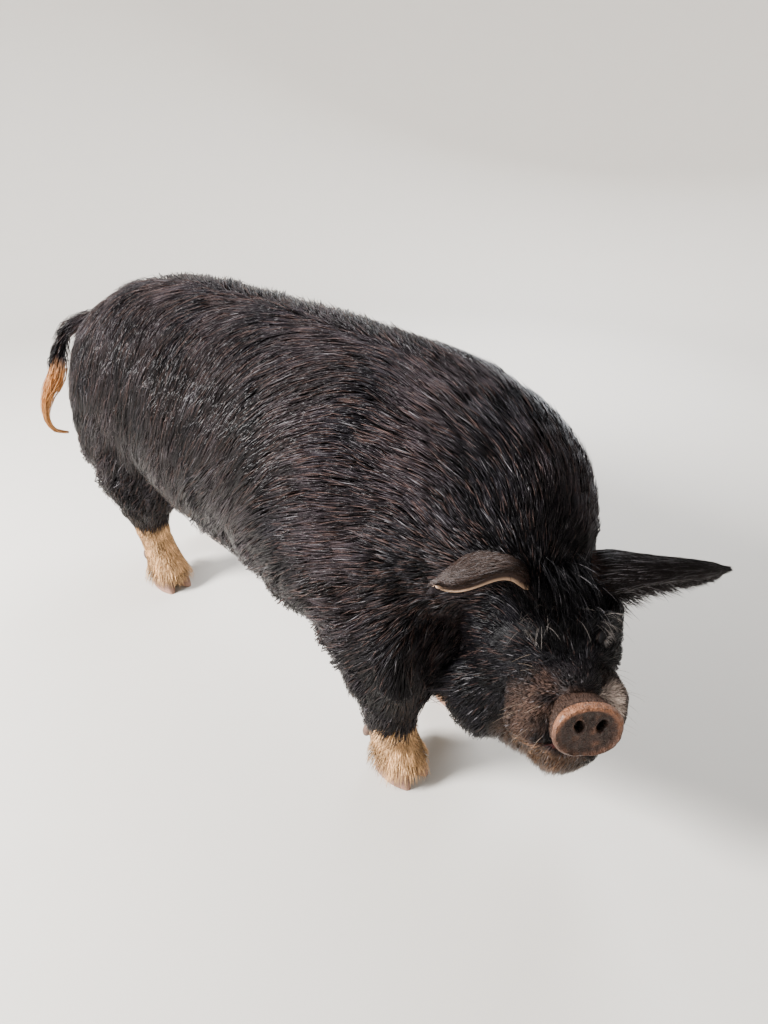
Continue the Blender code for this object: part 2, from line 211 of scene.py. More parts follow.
def solid(name, points, polygons):
    """Mesh object from an array of places and arrays of polygon corners, each (faces, corners)."""
    mesh = bpy.data.meshes.new(name)
    corners = np.concatenate([p.ravel() for p in polygons]).astype(np.int32)
    sizes = np.concatenate([np.full(len(p), p.shape[1]) for p in polygons]).astype(np.int32)
    starts = np.concatenate([[0], np.cumsum(sizes)[:-1]]).astype(np.int32)
    mesh.vertices.add(len(points))
    mesh.vertices.foreach_set("co", np.asarray(points, np.float32).ravel())
    mesh.loops.add(len(corners))
    mesh.loops.foreach_set("vertex_index", corners)
    mesh.polygons.add(len(sizes))
    mesh.polygons.foreach_set("loop_start", starts)
    mesh.polygons.foreach_set("loop_total", sizes)
    mesh.update(calc_edges=True)
    mesh.shade_smooth()
    return new_object(name, mesh)


def sheet(name, grid, caps=True):
    """Surface over places (rows, around, 3), joined round; caps are fans on first and last row."""
    rows, around = grid.shape[:2]
    index = np.arange(rows * around).reshape(rows, around)
    nxt = np.roll(index, -1, axis=1)
    points = grid.reshape(-1, 3)
    polygons = [np.stack([index[:-1], nxt[:-1], nxt[1:], index[1:]], axis=-1).reshape(-1, 4)]
    if caps:
        points = with_poles(grid)
        for a, b, pole in ((nxt[0], index[0], 0), (index[-1], nxt[-1], 1)):
            polygons.append(np.stack([a, b, np.full(around, rows * around + pole)], axis=-1))
    obj = solid(name, points, polygons)
    reshape(obj.data)
    return obj


def with_poles(grid):
    """Places of a grid in one row, and after them the middles of its first and last row."""
    return np.vstack([grid.reshape(-1, 3), grid[0].mean(axis=0), grid[-1].mean(axis=0)])


def on_sheet(values, *poles):
    """Values of a grid in one row, and after them those of its poles."""
    return np.append(values.ravel(), poles)


def reshape(mesh, work=None, outwards=True):
    """Edit a mesh with a function of its bmesh, and turn its faces outwards."""
    bm = bmesh.new()
    bm.from_mesh(mesh)
    if work:
        work(bm)
    if outwards:
        bmesh.ops.recalc_face_normals(bm, faces=bm.faces)
    bm.to_mesh(mesh)
    bm.free()


def settle(obj):
    """Replace an object's mesh by what its modifiers give."""
    depsgraph = bpy.context.evaluated_depsgraph_get()
    mesh = bpy.data.meshes.new_from_object(obj.evaluated_get(depsgraph))
    obj.modifiers.clear()
    obj.data = mesh


def push(obj, points):
    obj.data.vertices.foreach_set("co", points.astype(np.float32).ravel())
    obj.data.update()


def paint(obj, tint):
    """Store a colour for each vertex under the name tint."""
    layer = obj.data.attributes.new("tint", "FLOAT_COLOR", "POINT")
    rgba = np.ones((len(obj.data.vertices), 4), np.float32)
    rgba[:, :3] = tint
    layer.data.foreach_set("color", rgba.ravel())


def keep(obj, material, slot, *nodes):
    """Give a piece its finish, its one body and the solids that it stands for; its slot is not
    used.
    """
    obj.data.materials.append(material)
    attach(obj, "root")
    if nodes:
        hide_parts(*nodes)


# ---- markings
def setting(group):
    """The settings of one group: colours, skin, coat, head or stage."""
    return getattr(bpy.context.scene, "pig_" + group)


def shade(name, share=1.0):
    """One of the pig's colours, made lighter or darker by a share."""
    return np.array(getattr(setting("colours"), name)) * share


def limb_weight(p):
    """1 on the legs, fading out where they swell into the body."""
    h = moved(TO_HEAD, p)
    head = step(0.06, 0.0, h[:, 1]) * step(-0.34, -0.28, h[:, 2])
    return step(0.27, 0.17, p[:, 2]) * (1 - head)


def head_weight(p):
    """1 on the head, fading out behind the ears and under the jowls."""
    h = moved(TO_HEAD, p)
    return step(0.045, -0.02, h[:, 1]) * step(-0.345, -0.29, h[:, 2])


def dock_weight(p):
    """1 on the tail's root that stands clear of the rump."""
    low = box("tail_dock")[0][2]
    clear = step(RUMP_Y - 0.025, RUMP_Y - 0.005, p[:, 1]) * step(low - 0.02, low, p[:, 2])
    return clear * step(-0.01, -0.03, p[:, 0])


def foot_weight(p):
    """1 on the short hair below hock and knee."""
    return step(0.17, 0.13, p[:, 2])


def chin_weight(h):
    """1 on the front of the lower jaw, fading out towards the jowls; h is in the head's frame."""
    return step(-0.125, -0.185, h[:, 1]) * step(-0.085, -0.120, h[:, 2])


def from_mouth(h):
    """Height over the line of the lips, and 1 where there is a mouth.

    The line sags by a half sine from under the disc to the corner of the mouth.
    """
    along = np.clip((h[:, 1] + 0.240) / 0.125, 0, 1)
    line = -0.078 - 0.034 * np.sin(math.pi * along)
    return h[:, 2] - line, step(-0.118, -0.135, h[:, 1]) * head_weight(moved(HEAD, h))


def lip_reach(h):
    """Distance from the middle of the swollen upper lip, 1 at its edge."""
    y, z = h[:, 1] + 0.177 - 0.10 * (h[:, 2] + 0.06), h[:, 2] + 0.070
    return np.hypot(y / 0.033, z / 0.052)


def behind_disc(h):
    """Distance behind the plane of the snout disc, positive towards the face."""
    return h[:, 1] - DISC_Y - math.tan(math.radians(DISC_LEAN)) * (h[:, 2] - DISC_Z)


def under_disc(h):
    """1 at the front of the lips, below the disc."""
    return step(-0.20, -0.235, h[:, 1]) * step(0.040, 0.020, np.abs(h[:, 0]))


def markings(p):
    """Colour of skin and coat: black body, tan feet, brown lips, pale far lip and tan chin."""
    h = moved(TO_HEAD, p)
    head = head_weight(p)
    base = mix(shade("coat"), shade("brown"), 0.35 + 0.35 * drift(p, 0.17, 3))
    # Face darker than the body: partly its black hair, partly painted shade of the head
    base = mix(base, shade("face"), step(0.02, -0.05, h[:, 1]) * head)
    # Brown swollen lips with a ragged edge, a brown collar behind the disc, and painted shade in
    # the groove there
    ragged = drift(p, 0.030, 8)
    muzzle = step(-0.135, -0.185, h[:, 1]) * head
    edge = lip_reach(h) + 0.16 * ragged + 0.14 * drift(p, 0.011, 13)
    lips = step(1.40, 0.85, edge) * step(0.02, 0.045, np.abs(h[:, 0]))
    collar = step(0.030, 0.012, behind_disc(h) + 0.006 * ragged)
    base = mix(base, shade("muzzle"), muzzle * (0.05 + 0.95 * np.maximum(lips, collar)))
    # Painted shade: the groove behind the disc darkened to a dark copy of the face colour
    gap = bell(behind_disc(h) - 0.019, 0.007) * step(-0.01, -0.04, h[:, 2]) * muzzle
    base = mix(base, shade("face", 0.6), 0.8 * gap)
    # Pale patch on the left lip, and the tan chin
    spot = length_of((h - (0.052, -0.206, -0.022)) / (0.9, 1.0, 1.25)) + 0.006 * ragged
    patch = step(0.036, 0.024, spot) * head * (0.80 + 0.20 * drift(p, 0.012, 9))
    base = mix(base, shade("blaze"), patch)
    chin = (0.80 + 0.20 * ragged) * chin_weight(h + 0.012 * ragged[:, None]) * head
    base = mix(base, shade("chin"), chin)
    # Tan feet, higher up the hind legs
    edge = 0.122 + 0.036 * step(0.0, 0.05, p[:, 1]) + 0.010 * drift(p, 0.035, 5)
    away = [np.hypot(p[:, 0] - at[0], p[:, 1] - at[1]) for at in FOOT_AT.values()]
    foot = step(edge + 0.006, edge - 0.006, p[:, 2]) * step(0.12, 0.10, np.min(away, axis=0))
    return mix(base, shade("tan"), foot)


# ---- materials
class Value:
    """A socket that carries a number; each operator on it adds a Math node."""

    def __init__(self, kit, socket):
        self.kit = kit
        self.socket = socket

    def calc(self, operation, *sides):
        return self.kit.node("ShaderNodeMath", {"operation": operation}, *sides)

    def __add__(self, other):
        return self.calc("ADD", self, other)

    def __mul__(self, other):
        return self.calc("MULTIPLY", self, other)

    __radd__ = __add__
    __rmul__ = __mul__


class Kit:
    """Builder of one material's nodes."""

    def __init__(self, name, **sockets):
        self.material = bpy.data.materials.new(name)
        self.material.use_nodes = True
        self.tree = self.material.node_tree
        self.shader = self.tree.nodes["Principled BSDF"]
        self.put(self.shader, sockets)

    def put(self, target, sockets):
        """Set or link sockets, given by name with _ for a space, or by number."""
        for key, value in sockets.items():
            socket = target.inputs[key.replace("_", " ") if isinstance(key, str) else key]
            if isinstance(value, Value):
                self.tree.links.new(value.socket, socket)
            elif socket.type == "RGBA":
                socket.default_value = (*value, 1.0)
            else:
                socket.default_value = value

    def node(self, kind, settings=None, *values, out=0, at=None, **sockets):
        """A node of a type with its settings, and the values or links of its sockets."""
        made = self.tree.nodes.new(kind)
        for key, value in (settings or {}).items():
            setattr(made, key, value)
        self.put(made, {**dict(enumerate(values)), **(at or {}), **sockets})
        return Value(self, made.outputs[out])

    def place(self, scale=None):
        """Place on the object, or that place stretched."""
        spot = self.node("ShaderNodeTexCoord", out="Object")
        return self.node("ShaderNodeMapping", Vector=spot, Scale=scale) if scale else spot

    def attribute(self, name, out="Color"):
        return self.node("ShaderNodeAttribute", {"attribute_name": name}, out=out)

    def noise(self, scale, detail, stretch=None):
        sockets = {"Vector": self.place(stretch), "Scale": scale, "Detail": detail}
        return self.node("ShaderNodeTexNoise", Roughness=0.55, **sockets)

    def ramp(self, value, low, high):
        """0 at low, 1 at high, eased."""
        settings = {"interpolation_type": "SMOOTHSTEP"}
        return self.node("ShaderNodeMapRange", settings, Value=value, From_Min=low, From_Max=high)

    def blend(self, share, a, b, mode="MIX"):
        """Mix node for colours; its sockets 0, 6 and 7 are the share and the two colours."""
        settings = {"data_type": "RGBA", "blend_type": mode}
        return self.node("ShaderNodeMix", settings, out=2, at={0: share, 6: a, 7: b})

    def flecked(self, share, tint, amount):
        """A tint, and by a share the same tint times an amount."""
        return self.blend(share, tint, self.blend(1.0, tint, amount, "MULTIPLY"))

    def bump(self, height, depth, strength):
        return self.node("ShaderNodeBump", Height=height, Distance=depth, Strength=strength)

    def finish(self, **sockets):
        self.put(self.shader, sockets)
        return self.material


def hair_material(name, roughness):
    """Hair: its own tint, darkened and lightened by fine noise, with a soft gloss."""
    kit = Kit(name, Roughness=roughness, Specular_IOR_Level=0.12)
    tint = kit.attribute("tint")
    return kit.finish(Base_Color=kit.flecked(0.45, tint, kit.noise(420.0, 2.0) * 2.0))


def skin_material():
    """Bare and thinly haired skin: tint with blotches, fine pores and creases as bump."""
    kit = Kit("skin", Specular_IOR_Level=0.14)
    tint = kit.attribute("tint")
    blotch = kit.noise(38.0, 4.0)
    pores = kit.noise(700.0, 3.0)
    hairs = kit.noise(190.0, 4.0)
    return kit.finish(
        Base_Color=kit.flecked(0.5, tint, blotch * 1.9),
        Roughness=0.55 + blotch * 0.2,
        Normal=kit.bump(pores * 0.5 + hairs, 0.0012, 0.7),
    )


# ---- skin
FACE_REGIONS = ((0.0, 0.19), (-0.100, 0.12))  # head's frame: furthest back, reach to each side
EASE = (("ham", 110), ("trunk", 40), ("", 6))  # vertex group, rounds of smoothing
HAM_AT = np.array((middle("leg_hind_left")[0], RUMP_Y - 0.045, 0.475))
HAM_REACH = 0.13
DEPTHS = {  # of the coat, as shares of its depth on the flank
    "leg": 0.70,
    "foot": 0.26,
    "dock": 0.38,
    "muzzle": 0.22,
    "cheek": 0.68,  # over the muzzle's
    "brow": 0.40,  # of the cheek's
    "eye": 0.15,  # of the face's
}
BODY_FORMS = (  # middle, its x counted from the midline; reach; height
    ((0.17, FRONT_FEET[1] + 0.13, 0.40), (0.20, 0.10, 0.14), 0.006),  # shoulder blade
    ((0.19, FRONT_FEET[1] + 0.26, 0.33), (0.20, 0.045, 0.14), -0.008),  # behind the elbow
    ((0.19, RUMP_Y - 0.40, 0.36), (0.20, 0.06, 0.16), -0.008),  # fold of the flank
    ((0.17, RUMP_Y - 0.17, 0.42), (0.20, 0.13, 0.15), 0.005),  # ham
)
EYE_FORMS = (  # height, place from the eye in the head's frame, width
    (-0.0010, (0.0, 0.0, 0.0), 0.020),  # socket
    (0.0070, (0.0, 0.004, 0.024), 0.020),  # brow
    (0.0040, (0.0, -0.010, -0.024), 0.015),  # bag
)


def clear_of_eyes(p, low, high, least=0.0):
    """Least at an eye and 1 from high away: the product of a smooth step round each."""
    steps = [step(low, high, length_of(p - eye)) for eye in EYE_AT.values()]
    return np.prod([least + (1 - least) * s for s in steps], axis=0)


def coat_depth(p):
    """How far the skin lies inside the coat's tips: most on the trunk, least on face and feet."""
    h = moved(TO_HEAD, p)
    limb = between(DEPTHS["foot"], DEPTHS["leg"], step(0.10, 0.20, p[:, 2]))
    depth = between(1, limb, limb_weight(p)) * between(1, DEPTHS["dock"], dock_weight(p))
    brow = between(DEPTHS["brow"], 1, step(0.04, -0.08, h[:, 2]))
    face = DEPTHS["muzzle"] + DEPTHS["cheek"] * step(-0.20, -0.02, h[:, 1]) * brow
    face = face * clear_of_eyes(p, 0.02, 0.05, DEPTHS["eye"])
    return setting("coat").depth * between(depth, face, head_weight(p))


def face_relief(p):
    """Metres to add to the face: mouth, lips, wrinkles, sockets, brows, folds of cheek and neck.

    Each is a bell or a groove of the distance to a point or a line in the head's frame.
    """
    h = moved(TO_HEAD, p)
    x, y, z = np.abs(h[:, 0]), h[:, 1], h[:, 2]
    # Line of the mouth, deeper below the disc, with a lip swelling over and under it
    over, mouth = from_mouth(h)
    ahead = under_disc(h)
    line = (0.0085 + 0.0045 * ahead) * bell(over, 0.0050 + 0.0025 * ahead)
    upper, lower = 0.0045 * bell(over - 0.013, 0.010), 0.0025 * bell(over + 0.013, 0.009)
    relief = mouth * (upper + lower - line)
    lip = lip_reach(h)
    swelling = 0.0170 * bell(lip, 1, 4) - 0.0060 * bell(lip - 1.42, 0.20)
    relief += swelling * step(0.020, 0.050, x)
    # Gap behind the disc, and rings of wrinkles along the bridge of the nose
    back = behind_disc(h)
    gap = (0.0075 + 0.0040 * step(0.0, -0.03, z)) * bell(back - 0.018, 0.009)
    relief -= gap * step(-0.110, -0.085, z)
    rings = 0.5 + 0.5 * np.cos((back - 0.016) / 0.0165 * TURN + 3.0 * drift(p, 0.05, 11))
    bridge = step(0.010, 0.02, back) * step(0.125, 0.07, back) * step(-0.05, -0.01, z)
    relief -= 0.0018 * rings * bridge
    for eye in EYE_AT.values():
        d = h - np.array(TO_HEAD @ Vector(eye))
        for height, at, width in EYE_FORMS:
            relief += height * bell(length_of(d - at), width)
        crease = length_of(d / (1.0, 1.0, 0.8) - (0.0, -0.010, -0.014)) - 0.030
        relief -= 0.0016 * bell(crease, 0.0035) * step(0.0, -0.01, d[:, 2])
    cheek = y - (-0.125 + 0.35 * (z + 0.05)) + 0.012 * drift(p, 0.09, 12)
    relief -= 0.0048 * bell(cheek, 0.010) * step(-0.02, -0.06, z) * step(-0.21, -0.17, z)
    fold = y - 0.030 - 0.25 * z
    relief -= 0.010 * bell(fold, 0.020) * step(0.04, -0.04, z) * step(0.06, 0.09, x)
    return relief * np.maximum(head_weight(p), bell(fold, 0.05))


def body_relief(p):
    """Metres to add to the body: bells of muscle and fat, a slack skin, and locks low down."""
    from_midline = np.column_stack([np.abs(p[:, 0]), p[:, 1], p[:, 2]])
    total = 0
    for at, reach, height in BODY_FORMS:
        total = total + height * bell(length_of((from_midline - at) / reach), 1)
    locks = 0.0042 * drift(p * (1, 1, 0.7), 0.042, 22) * step(0.46, 0.34, p[:, 2])
    slack = 0.0018 * drift(p, 0.10, 21)
    return total * step(0.20, 0.26, p[:, 2]) + (slack + locks) * step(0.15, 0.25, p[:, 2])


def skin_tint(p):
    """Markings, darkened as painted shade under the coat where only its gaps show them, and dark
    red inside the mouth, darkened along the lips as painted shade in their crease.
    """
    h = moved(TO_HEAD, p)
    muzzle = head_weight(p) * step(-0.08, -0.15, h[:, 1])
    bare = np.maximum(muzzle, step(0.15, 0.11, p[:, 2]))
    # Painted shade: skin under the coat kept darker than bare skin, as among the roots of the hair
    tint = markings(p) * (0.55 + 0.45 * bare)[:, None]
    over, mouth = from_mouth(h)
    # Painted shade in the crease of the lips: a near-black band, and the mouth's colour at a
    # quarter along that line, full only under the disc
    tint = mix(tint, shade("face", 1.3), bell(over, 0.014, 4) * mouth)
    mouth_and_shade = bell(over, 0.0065) * mouth
    return mix(mix(tint, shade("mouth", 0.25), mouth_and_shade), shade("mouth"), mouth_and_shade * under_disc(h))


class PIG_OT_skin(bpy.types.Operator):
    """One skin over trunk, neck, head, jaw, legs and dock, a coat's depth inside the solids"""

    bl_idname = "pig.skin"
    bl_label = "Skin"

    def execute(self, context):
        skin = self.fused()
        for limit, reach in FACE_REGIONS:
            self.refine(skin, limit, reach)
        points, normals, _ = surface(skin)
        points -= normals * coat_depth(points)[:, None]
        push(skin, points)
        self.ease(skin, points)
        points, normals, _ = surface(skin)
        points += normals * (face_relief(points) + body_relief(points))[:, None]
        push(skin, points)
        skin.data.shade_smooth()
        paint(skin, skin_tint(points))
        keep(skin, skin_material(), "black_coat", *FLESH)
        return {"FINISHED"}

    def fused(self):
        """The solids of flesh as one closed surface of even cells, a little softened."""
        whole = bmesh.new()
        for name in FLESH:
            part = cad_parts[name].data.copy()
            reshape(part, lambda bm: bmesh.ops.remove_doubles(bm, verts=bm.verts, dist=1e-5), False)
            whole.from_mesh(part)
        mesh = bpy.data.meshes.new("skin")
        whole.to_mesh(mesh)
        whole.free()
        skin = new_object("skin", mesh)
        fuse = skin.modifiers.new("fuse", "REMESH")
        fuse.mode = "VOXEL"
        fuse.voxel_size = setting("skin").cell
        skin.modifiers.new("soften", "SMOOTH").iterations = 4
        settle(skin)
        return skin

    def refine(self, skin, limit, reach):
        """Halve the cells of the face ahead of a plane across the head, out to a reach."""
        h = moved(TO_HEAD, read(skin.data.vertices, "co", 3))
        near = (h[:, 1] < limit) & (h[:, 2] > -0.28) & (np.abs(h[:, 0]) < reach)

        def halve(bm):
            edges = [e for e in bm.edges if near[e.verts[0].index] and near[e.verts[1].index]]
            bmesh.ops.subdivide_edges(bm, edges=edges, cuts=1, smooth=0.6, use_grid_fill=True)
            bmesh.ops.triangulate(bm, faces=[f for f in bm.faces if len(f.verts) > 4])

        reshape(skin.data, halve, False)

    def ease(self, skin, points):
        """Smooth the ham most, then the trunk in four strengths, then everything a little."""
        trunk = skin.vertex_groups.new(name="trunk")
        weight = step(0.24, 0.32, points[:, 2])
        weight = weight * (1 - head_weight(points)) * (1 - dock_weight(points))
        for level in range(1, 5):
            chosen = np.flatnonzero(np.ceil(4 * weight) == level)
            trunk.add(chosen.tolist(), level / 4, "REPLACE")
        ham = skin.vertex_groups.new(name="ham")
        chosen = np.flatnonzero(length_of(points - HAM_AT) < HAM_REACH)
        ham.add(chosen.tolist(), 1.0, "REPLACE")
        for group, rounds in EASE:
            ease = skin.modifiers.new("ease", "SMOOTH")
            ease.iterations = rounds
            ease.vertex_group = group
        settle(skin)


# ---- snout
SNOUT_PROFILE = (  # share of the half width, height in front of the plane of the disc
    (0.04, 0.0000),
    (0.25, 0.0002),
    (0.50, 0.0004),
    (0.72, 0.0010),
    (0.82, 0.0030),
    (0.91, 0.0052),
    (1.00, 0.0044),
    (1.05, 0.0008),
    (1.055, -0.0034),
    (1.00, -0.0074),
    (0.955, -0.0110),
    (0.950, -0.0160),
    (0.93, -0.0240),
)
SNOUT_HALF = (0.0515, 0.0415, 0.0395)  # head's units: half width, reach up and reach down
SNOUT_AT = (-0.005, -0.2500, -0.0300)
SNOUT_TILT = Matrix.Rotation(math.radians(-DISC_LEAN), 4, "X")
SNOUT = HEAD @ Matrix.Translation(SNOUT_AT) @ SNOUT_TILT
NOSTRIL_AT = (0.0175, 0.008)  # aside and up from the disc's middle
FUZZ = (420000, 0.0065)  # blades to the square metre, and their length
TAPER = np.array((1.0, 0.85, 0.0))  # width along a short blade


def snout_material():
    """Rind: pitted leather with streaks that run down, damp and glossy in the hollows."""
    kit = Kit("snout rind", Specular_IOR_Level=0.25, Coat_Roughness=0.25)
    tint = kit.attribute("tint")
    grit = kit.noise(260.0, 4.0)
    streak = kit.noise(90.0, 4.0, (2.4, 2.4, 0.5))
    smooth = {"feature": "SMOOTH_F1"}
    pits = kit.node("ShaderNodeTexVoronoi", smooth, Vector=kit.place(), Scale=620.0)
    return kit.finish(
        Base_Color=kit.flecked(0.75, tint, streak * 1.9),
        Roughness=0.36 + grit * 0.3,
        Coat_Weight=kit.ramp(grit, 0.62, 0.35) * 0.14,
        Normal=kit.bump(pits + grit * 0.8 + streak, 0.0016, 1.0),
    )


class PIG_OT_snout(bpy.types.Operator):
    """Flat snout disc with its rolled rim and two nostrils, in a rind of its own"""

    bl_idname = "pig.snout"
    bl_label = "Snout"

    def execute(self, context):
        spots = self.disc()
        snout = sheet("snout", moved(SNOUT, spots))
        paint(snout, self.tint(with_poles(spots)))
        keep(snout, snout_material(), "snout_rind", "snout_disc")
        self.fuzz(snout)
        return {"FINISHED"}

    def disc(self):
        """Profile from the middle out, turned round a superellipse, with wells and furrows."""
        nostril = setting("head").nostril
        profile = np.array(SNOUT_PROFILE)
        rows = np.linspace(0, len(profile) - 1, 90)
        share, rise = (np.interp(rows, range(len(profile)), c)[:, None] for c in profile.T)
        angle = np.linspace(0, TURN, 160, endpoint=False)[None, :]
        half, above, below = SNOUT_HALF
        # The rolled rim is broad at the top and a narrow lip at the bottom
        roll = 0.30 + 0.70 * step(-0.3, 0.9, np.sin(angle))
        narrow = np.where(share > 0.6, roll + (1 - roll) * (1 - share) / 0.4, 1)
        share = np.where(share < 1, 1 - (1 - share) * narrow, share)
        x, up = ring(angle, 2.3, half, 1.0)
        x, up = x * share, up * share * np.where(up > 0, above, below)
        rise = rise * (0.8 + 0.9 * step(0.0, 1.0, np.sin(angle))) * np.ones_like(x)
        # Nostrils are wells: deepest inside an oval, with a raised edge round it
        for side in SIDES.values():
            high = up - NOSTRIL_AT[1]
            aside = x - 0.002 - side * (NOSTRIL_AT[0] + 0.18 * high)
            oval = np.hypot(aside / nostril, high / (nostril * 1.35))
            rise = rise - 0.016 * step(1.12, 0.62, oval) * (share < 0.9)
            rise = rise + 0.0016 * bell(oval - 1.35, 0.28)
        # A shallow furrow down the middle, and a dent below
        rise = rise - 0.0012 * bell(x, 0.005) * step(0.9, 0.6, share)
        rise = rise - 0.0030 * bell(x, 0.012) * step(-0.018, -0.034, up)
        spots = np.stack([x, -rise, up], axis=-1)
        spots[..., 1] -= 0.0008 * drift(spots, 0.016, 31) * step(1.05, 1.0, share)
        crinkle = drift(spots * (1, 0, 0.45), 0.0055, 33) * step(0.15, 0.3, share)
        return spots + 0.0005 * crinkle[..., None] * np.array((0.0, -1.0, 0.6))

    def tint(self, flat):
        """Dark plate with pale patches, orange rim paler on top as partly painted light, brown wall
        behind it darkened as painted shade, and painted shade deep in the nostrils.
        """
        half, above, below = SNOUT_HALF
        y, z = flat[:, 1], flat[:, 2]
        reach = np.hypot(flat[:, 0] / half, z / np.where(z > 0, above, below))
        # Orange rim, strong on top and faint below: partly its colour, partly painted light on its
        # top
        rim = step(0.78, 0.95, reach) * (0.25 + 0.75 * step(-0.015, 0.025, z))
        tint = mix(shade("rind"), shade("rim"), rim)
        pale = step(0.1, 0.9, drift(flat, 0.030, 32)) * step(0.9, 0.6, reach)
        tint = mix(tint, shade("rim"), 0.30 * pale) * (1 + 0.22 * drift(flat, 0.009, 34))[:, None]
        # Wall behind the rim: brown muzzle colour, darkened as painted shade under the rim
        wall = step(0.0040, 0.0075, y) * step(0.93, 0.95, reach)
        tint = mix(tint, shade("muzzle", 0.7), wall)
        # Painted shade: rind at a tenth of its colour deep inside the nostrils
        return mix(tint, shade("rind", 0.10), step(0.0015, 0.0055, y) * step(0.80, 0.75, reach))

    def fuzz(self, snout):
        """Short hair on the wall behind the rim, each blade lying straight back from it."""
        rng = random_of("snout")
        number, length = FUZZ
        to_disc = SNOUT.inverted()

        def density(p):
            q = moved(to_disc, p)
            out = np.hypot(q[:, 0] / 0.049, q[:, 2] / 0.0385)
            return number * step(0.0035, 0.0065, q[:, 1]) * step(0.90, 0.94, out)

        p, n = scatter(snout, density, rng)
        count = len(p)
        away = turned(SNOUT, (0, 1, 0)) + 0.25 * rng.normal(size=(count, 3))
        away = unit(away - 0.8 * n * np.sum(away * n, axis=1, keepdims=True))
        long = (length * (0.6 + 0.7 * rng.random(count)))[:, None]
        bend, tip = p + away * long * 0.5 + n * 0.0007, p + away * long + n * 0.0008
        paths = np.stack([p - 0.0004 * n, bend, tip], axis=1)
        widths = (0.00035 + 0.0002 * rng.random(count))[:, None] * TAPER
        tint = shade("muzzle") * (0.6 + 0.8 * rng.random((count, 1)))
        # Darker at the root as painted shade among the hairs, lighter at the tip
        tints = tint[:, None] * np.array((0.6, 1.0, 1.3))[:, None]
        patch = chart(p, SNOUT.translation, turned(SNOUT, (0, -1, 0)), (0, 0, 1))
        piece = tufts("snout_fuzz", paths, n, widths, tints, patch)
        keep(piece, hair_material("snout fuzz", 0.5), "face_hair")


# ---- eyes
SIGHT = (0.82, -0.52, 0.22)  # line of sight of the left eye in the head's frame
LID_SHARES = (0.0, 0.02, 0.07, 0.16, 0.30, 0.46, 0.64, 0.82, 1.0, 0.6, 0.2)
LID_THICK = (0.0, 0.8, 1.3, 1.5, 1.8, 2.2, 2.4, 1.8, 0.4, -1.2, -1.2)  # mm, at those shares
LID_REACH = math.radians(86)
LID_WIDE, LID_UP, LID_DOWN = (math.radians(v) for v in (50, 24, 17))  # half-angles of the opening


def eye_material():
    """Wet eyeball: brown iris and dark pupil by the angle from the line of sight."""
    wet = {"Coat_Weight": 0.7, "Coat_Roughness": 0.02}
    kit = Kit("eyeball", Roughness=0.30, Specular_IOR_Level=0.1, **wet)
    sight = kit.attribute("sight", "Fac")
    grain = kit.noise(900.0, 2.0)
    iris = kit.blend(grain, shade("iris"), shade("iris", 0.45))
    colour = kit.blend(kit.ramp(sight, 0.34, 0.40), (0.004, 0.003, 0.003), iris)
    colour = kit.blend(kit.ramp(sight, 0.82, 0.92), colour, shade("eye_white"))
    return kit.finish(Base_Color=colour, Normal=kit.bump(grain, 0.0001, 0.1))


def eye_frame(side):
    """Matrix of one eye: line of sight along -Y, its corners along X, up along Z."""
    heading = HEAD.to_3x3().normalized()
    sight = heading @ Vector((SIDES[side] * SIGHT[0], *SIGHT[1:])).normalized()
    across = -sight.cross(heading @ Vector((0, -0.30, 1))).normalized()
    up = sight.cross(across).normalized()
    up = up if up.z > 0 else -up
    axes = Matrix((across, -sight, up)).transposed().to_4x4()
    return Matrix.Translation(Vector(EYE_AT[side]) - 0.0012 * sight) @ axes


class PIG_OT_eyes(bpy.types.Operator):
    """Eyeballs, and lids that close on them from above and below"""

    bl_idname = "pig.eyes"
    bl_label = "Eyes and lids"

    def execute(self, context):
        for side in SIDES:
            place = eye_frame(side)
            polar = np.linspace(0.02, math.pi - 0.02, 40)[:, None] * np.ones((1, 48))
            turn = np.linspace(0, TURN, 48, endpoint=False)
            # Ball with a slight dome of the cornea: a bell of the angle from the line of sight
            radius = (EYE_RADIUS - 0.0010) * (1 + 0.055 * bell(polar, 0.55))
            eye = sheet("eyeball_" + side, moved(place, round_sight(radius, polar, turn)))
            sight = eye.data.attributes.new("sight", "FLOAT", "POINT")
            angles = on_sheet(polar, 0.0, math.pi).astype(np.float32)
            sight.data.foreach_set("value", angles)
            keep(eye, eye_material(), "eye", "eye_" + side)
            self.lids(side, place)
        return {"FINISHED"}

    def lids(self, side, place):
        """Lid: a shell round the eyeball from the almond opening outwards.

        At angle t round the sight the opening is an oval, wider than high and lower below. From
        there the shell goes out to LID_REACH, thickest a third of the way, then back inside it.
        """
        t = np.linspace(0, TURN, 96, endpoint=False)[None, :]
        upper = np.sin(t) > 0
        high = np.where(upper, LID_UP, LID_DOWN) * setting("head").opening
        inner = 1 / np.hypot(np.cos(t) / LID_WIDE, np.sin(t) / high)
        s = np.array(LID_SHARES)[:, None]
        thick = np.where(upper, 1.12, 1.0) * np.array(LID_THICK)[:, None] * 0.001
        polar = inner + (LID_REACH - inner) * s
        folds = 0.00035 * np.sin(polar * 42 + 1.5 * np.sin(t)) * step(0.1, 0.3, s)
        folds = folds * step(0.95, 0.7, s)
        shell = round_sight(EYE_RADIUS - 0.0004 + thick + folds, polar, t)
        shell = moved(place, np.concatenate([shell, shell[:1]]))
        lid = sheet("lids_" + side, shell, caps=False)
        reshape(lid.data, lambda bm: bmesh.ops.remove_doubles(bm, verts=bm.verts, dist=1e-6))
        away = length_of(read(lid.data.vertices, "co", 3) - np.array(place.translation))
        rim = step(EYE_RADIUS + 0.0009, EYE_RADIUS - 0.0001, away)
        paint(lid, mix(shade("face", 0.8), shade("lid"), rim * 0.8))
        keep(lid, skin_material(), "face_hair")


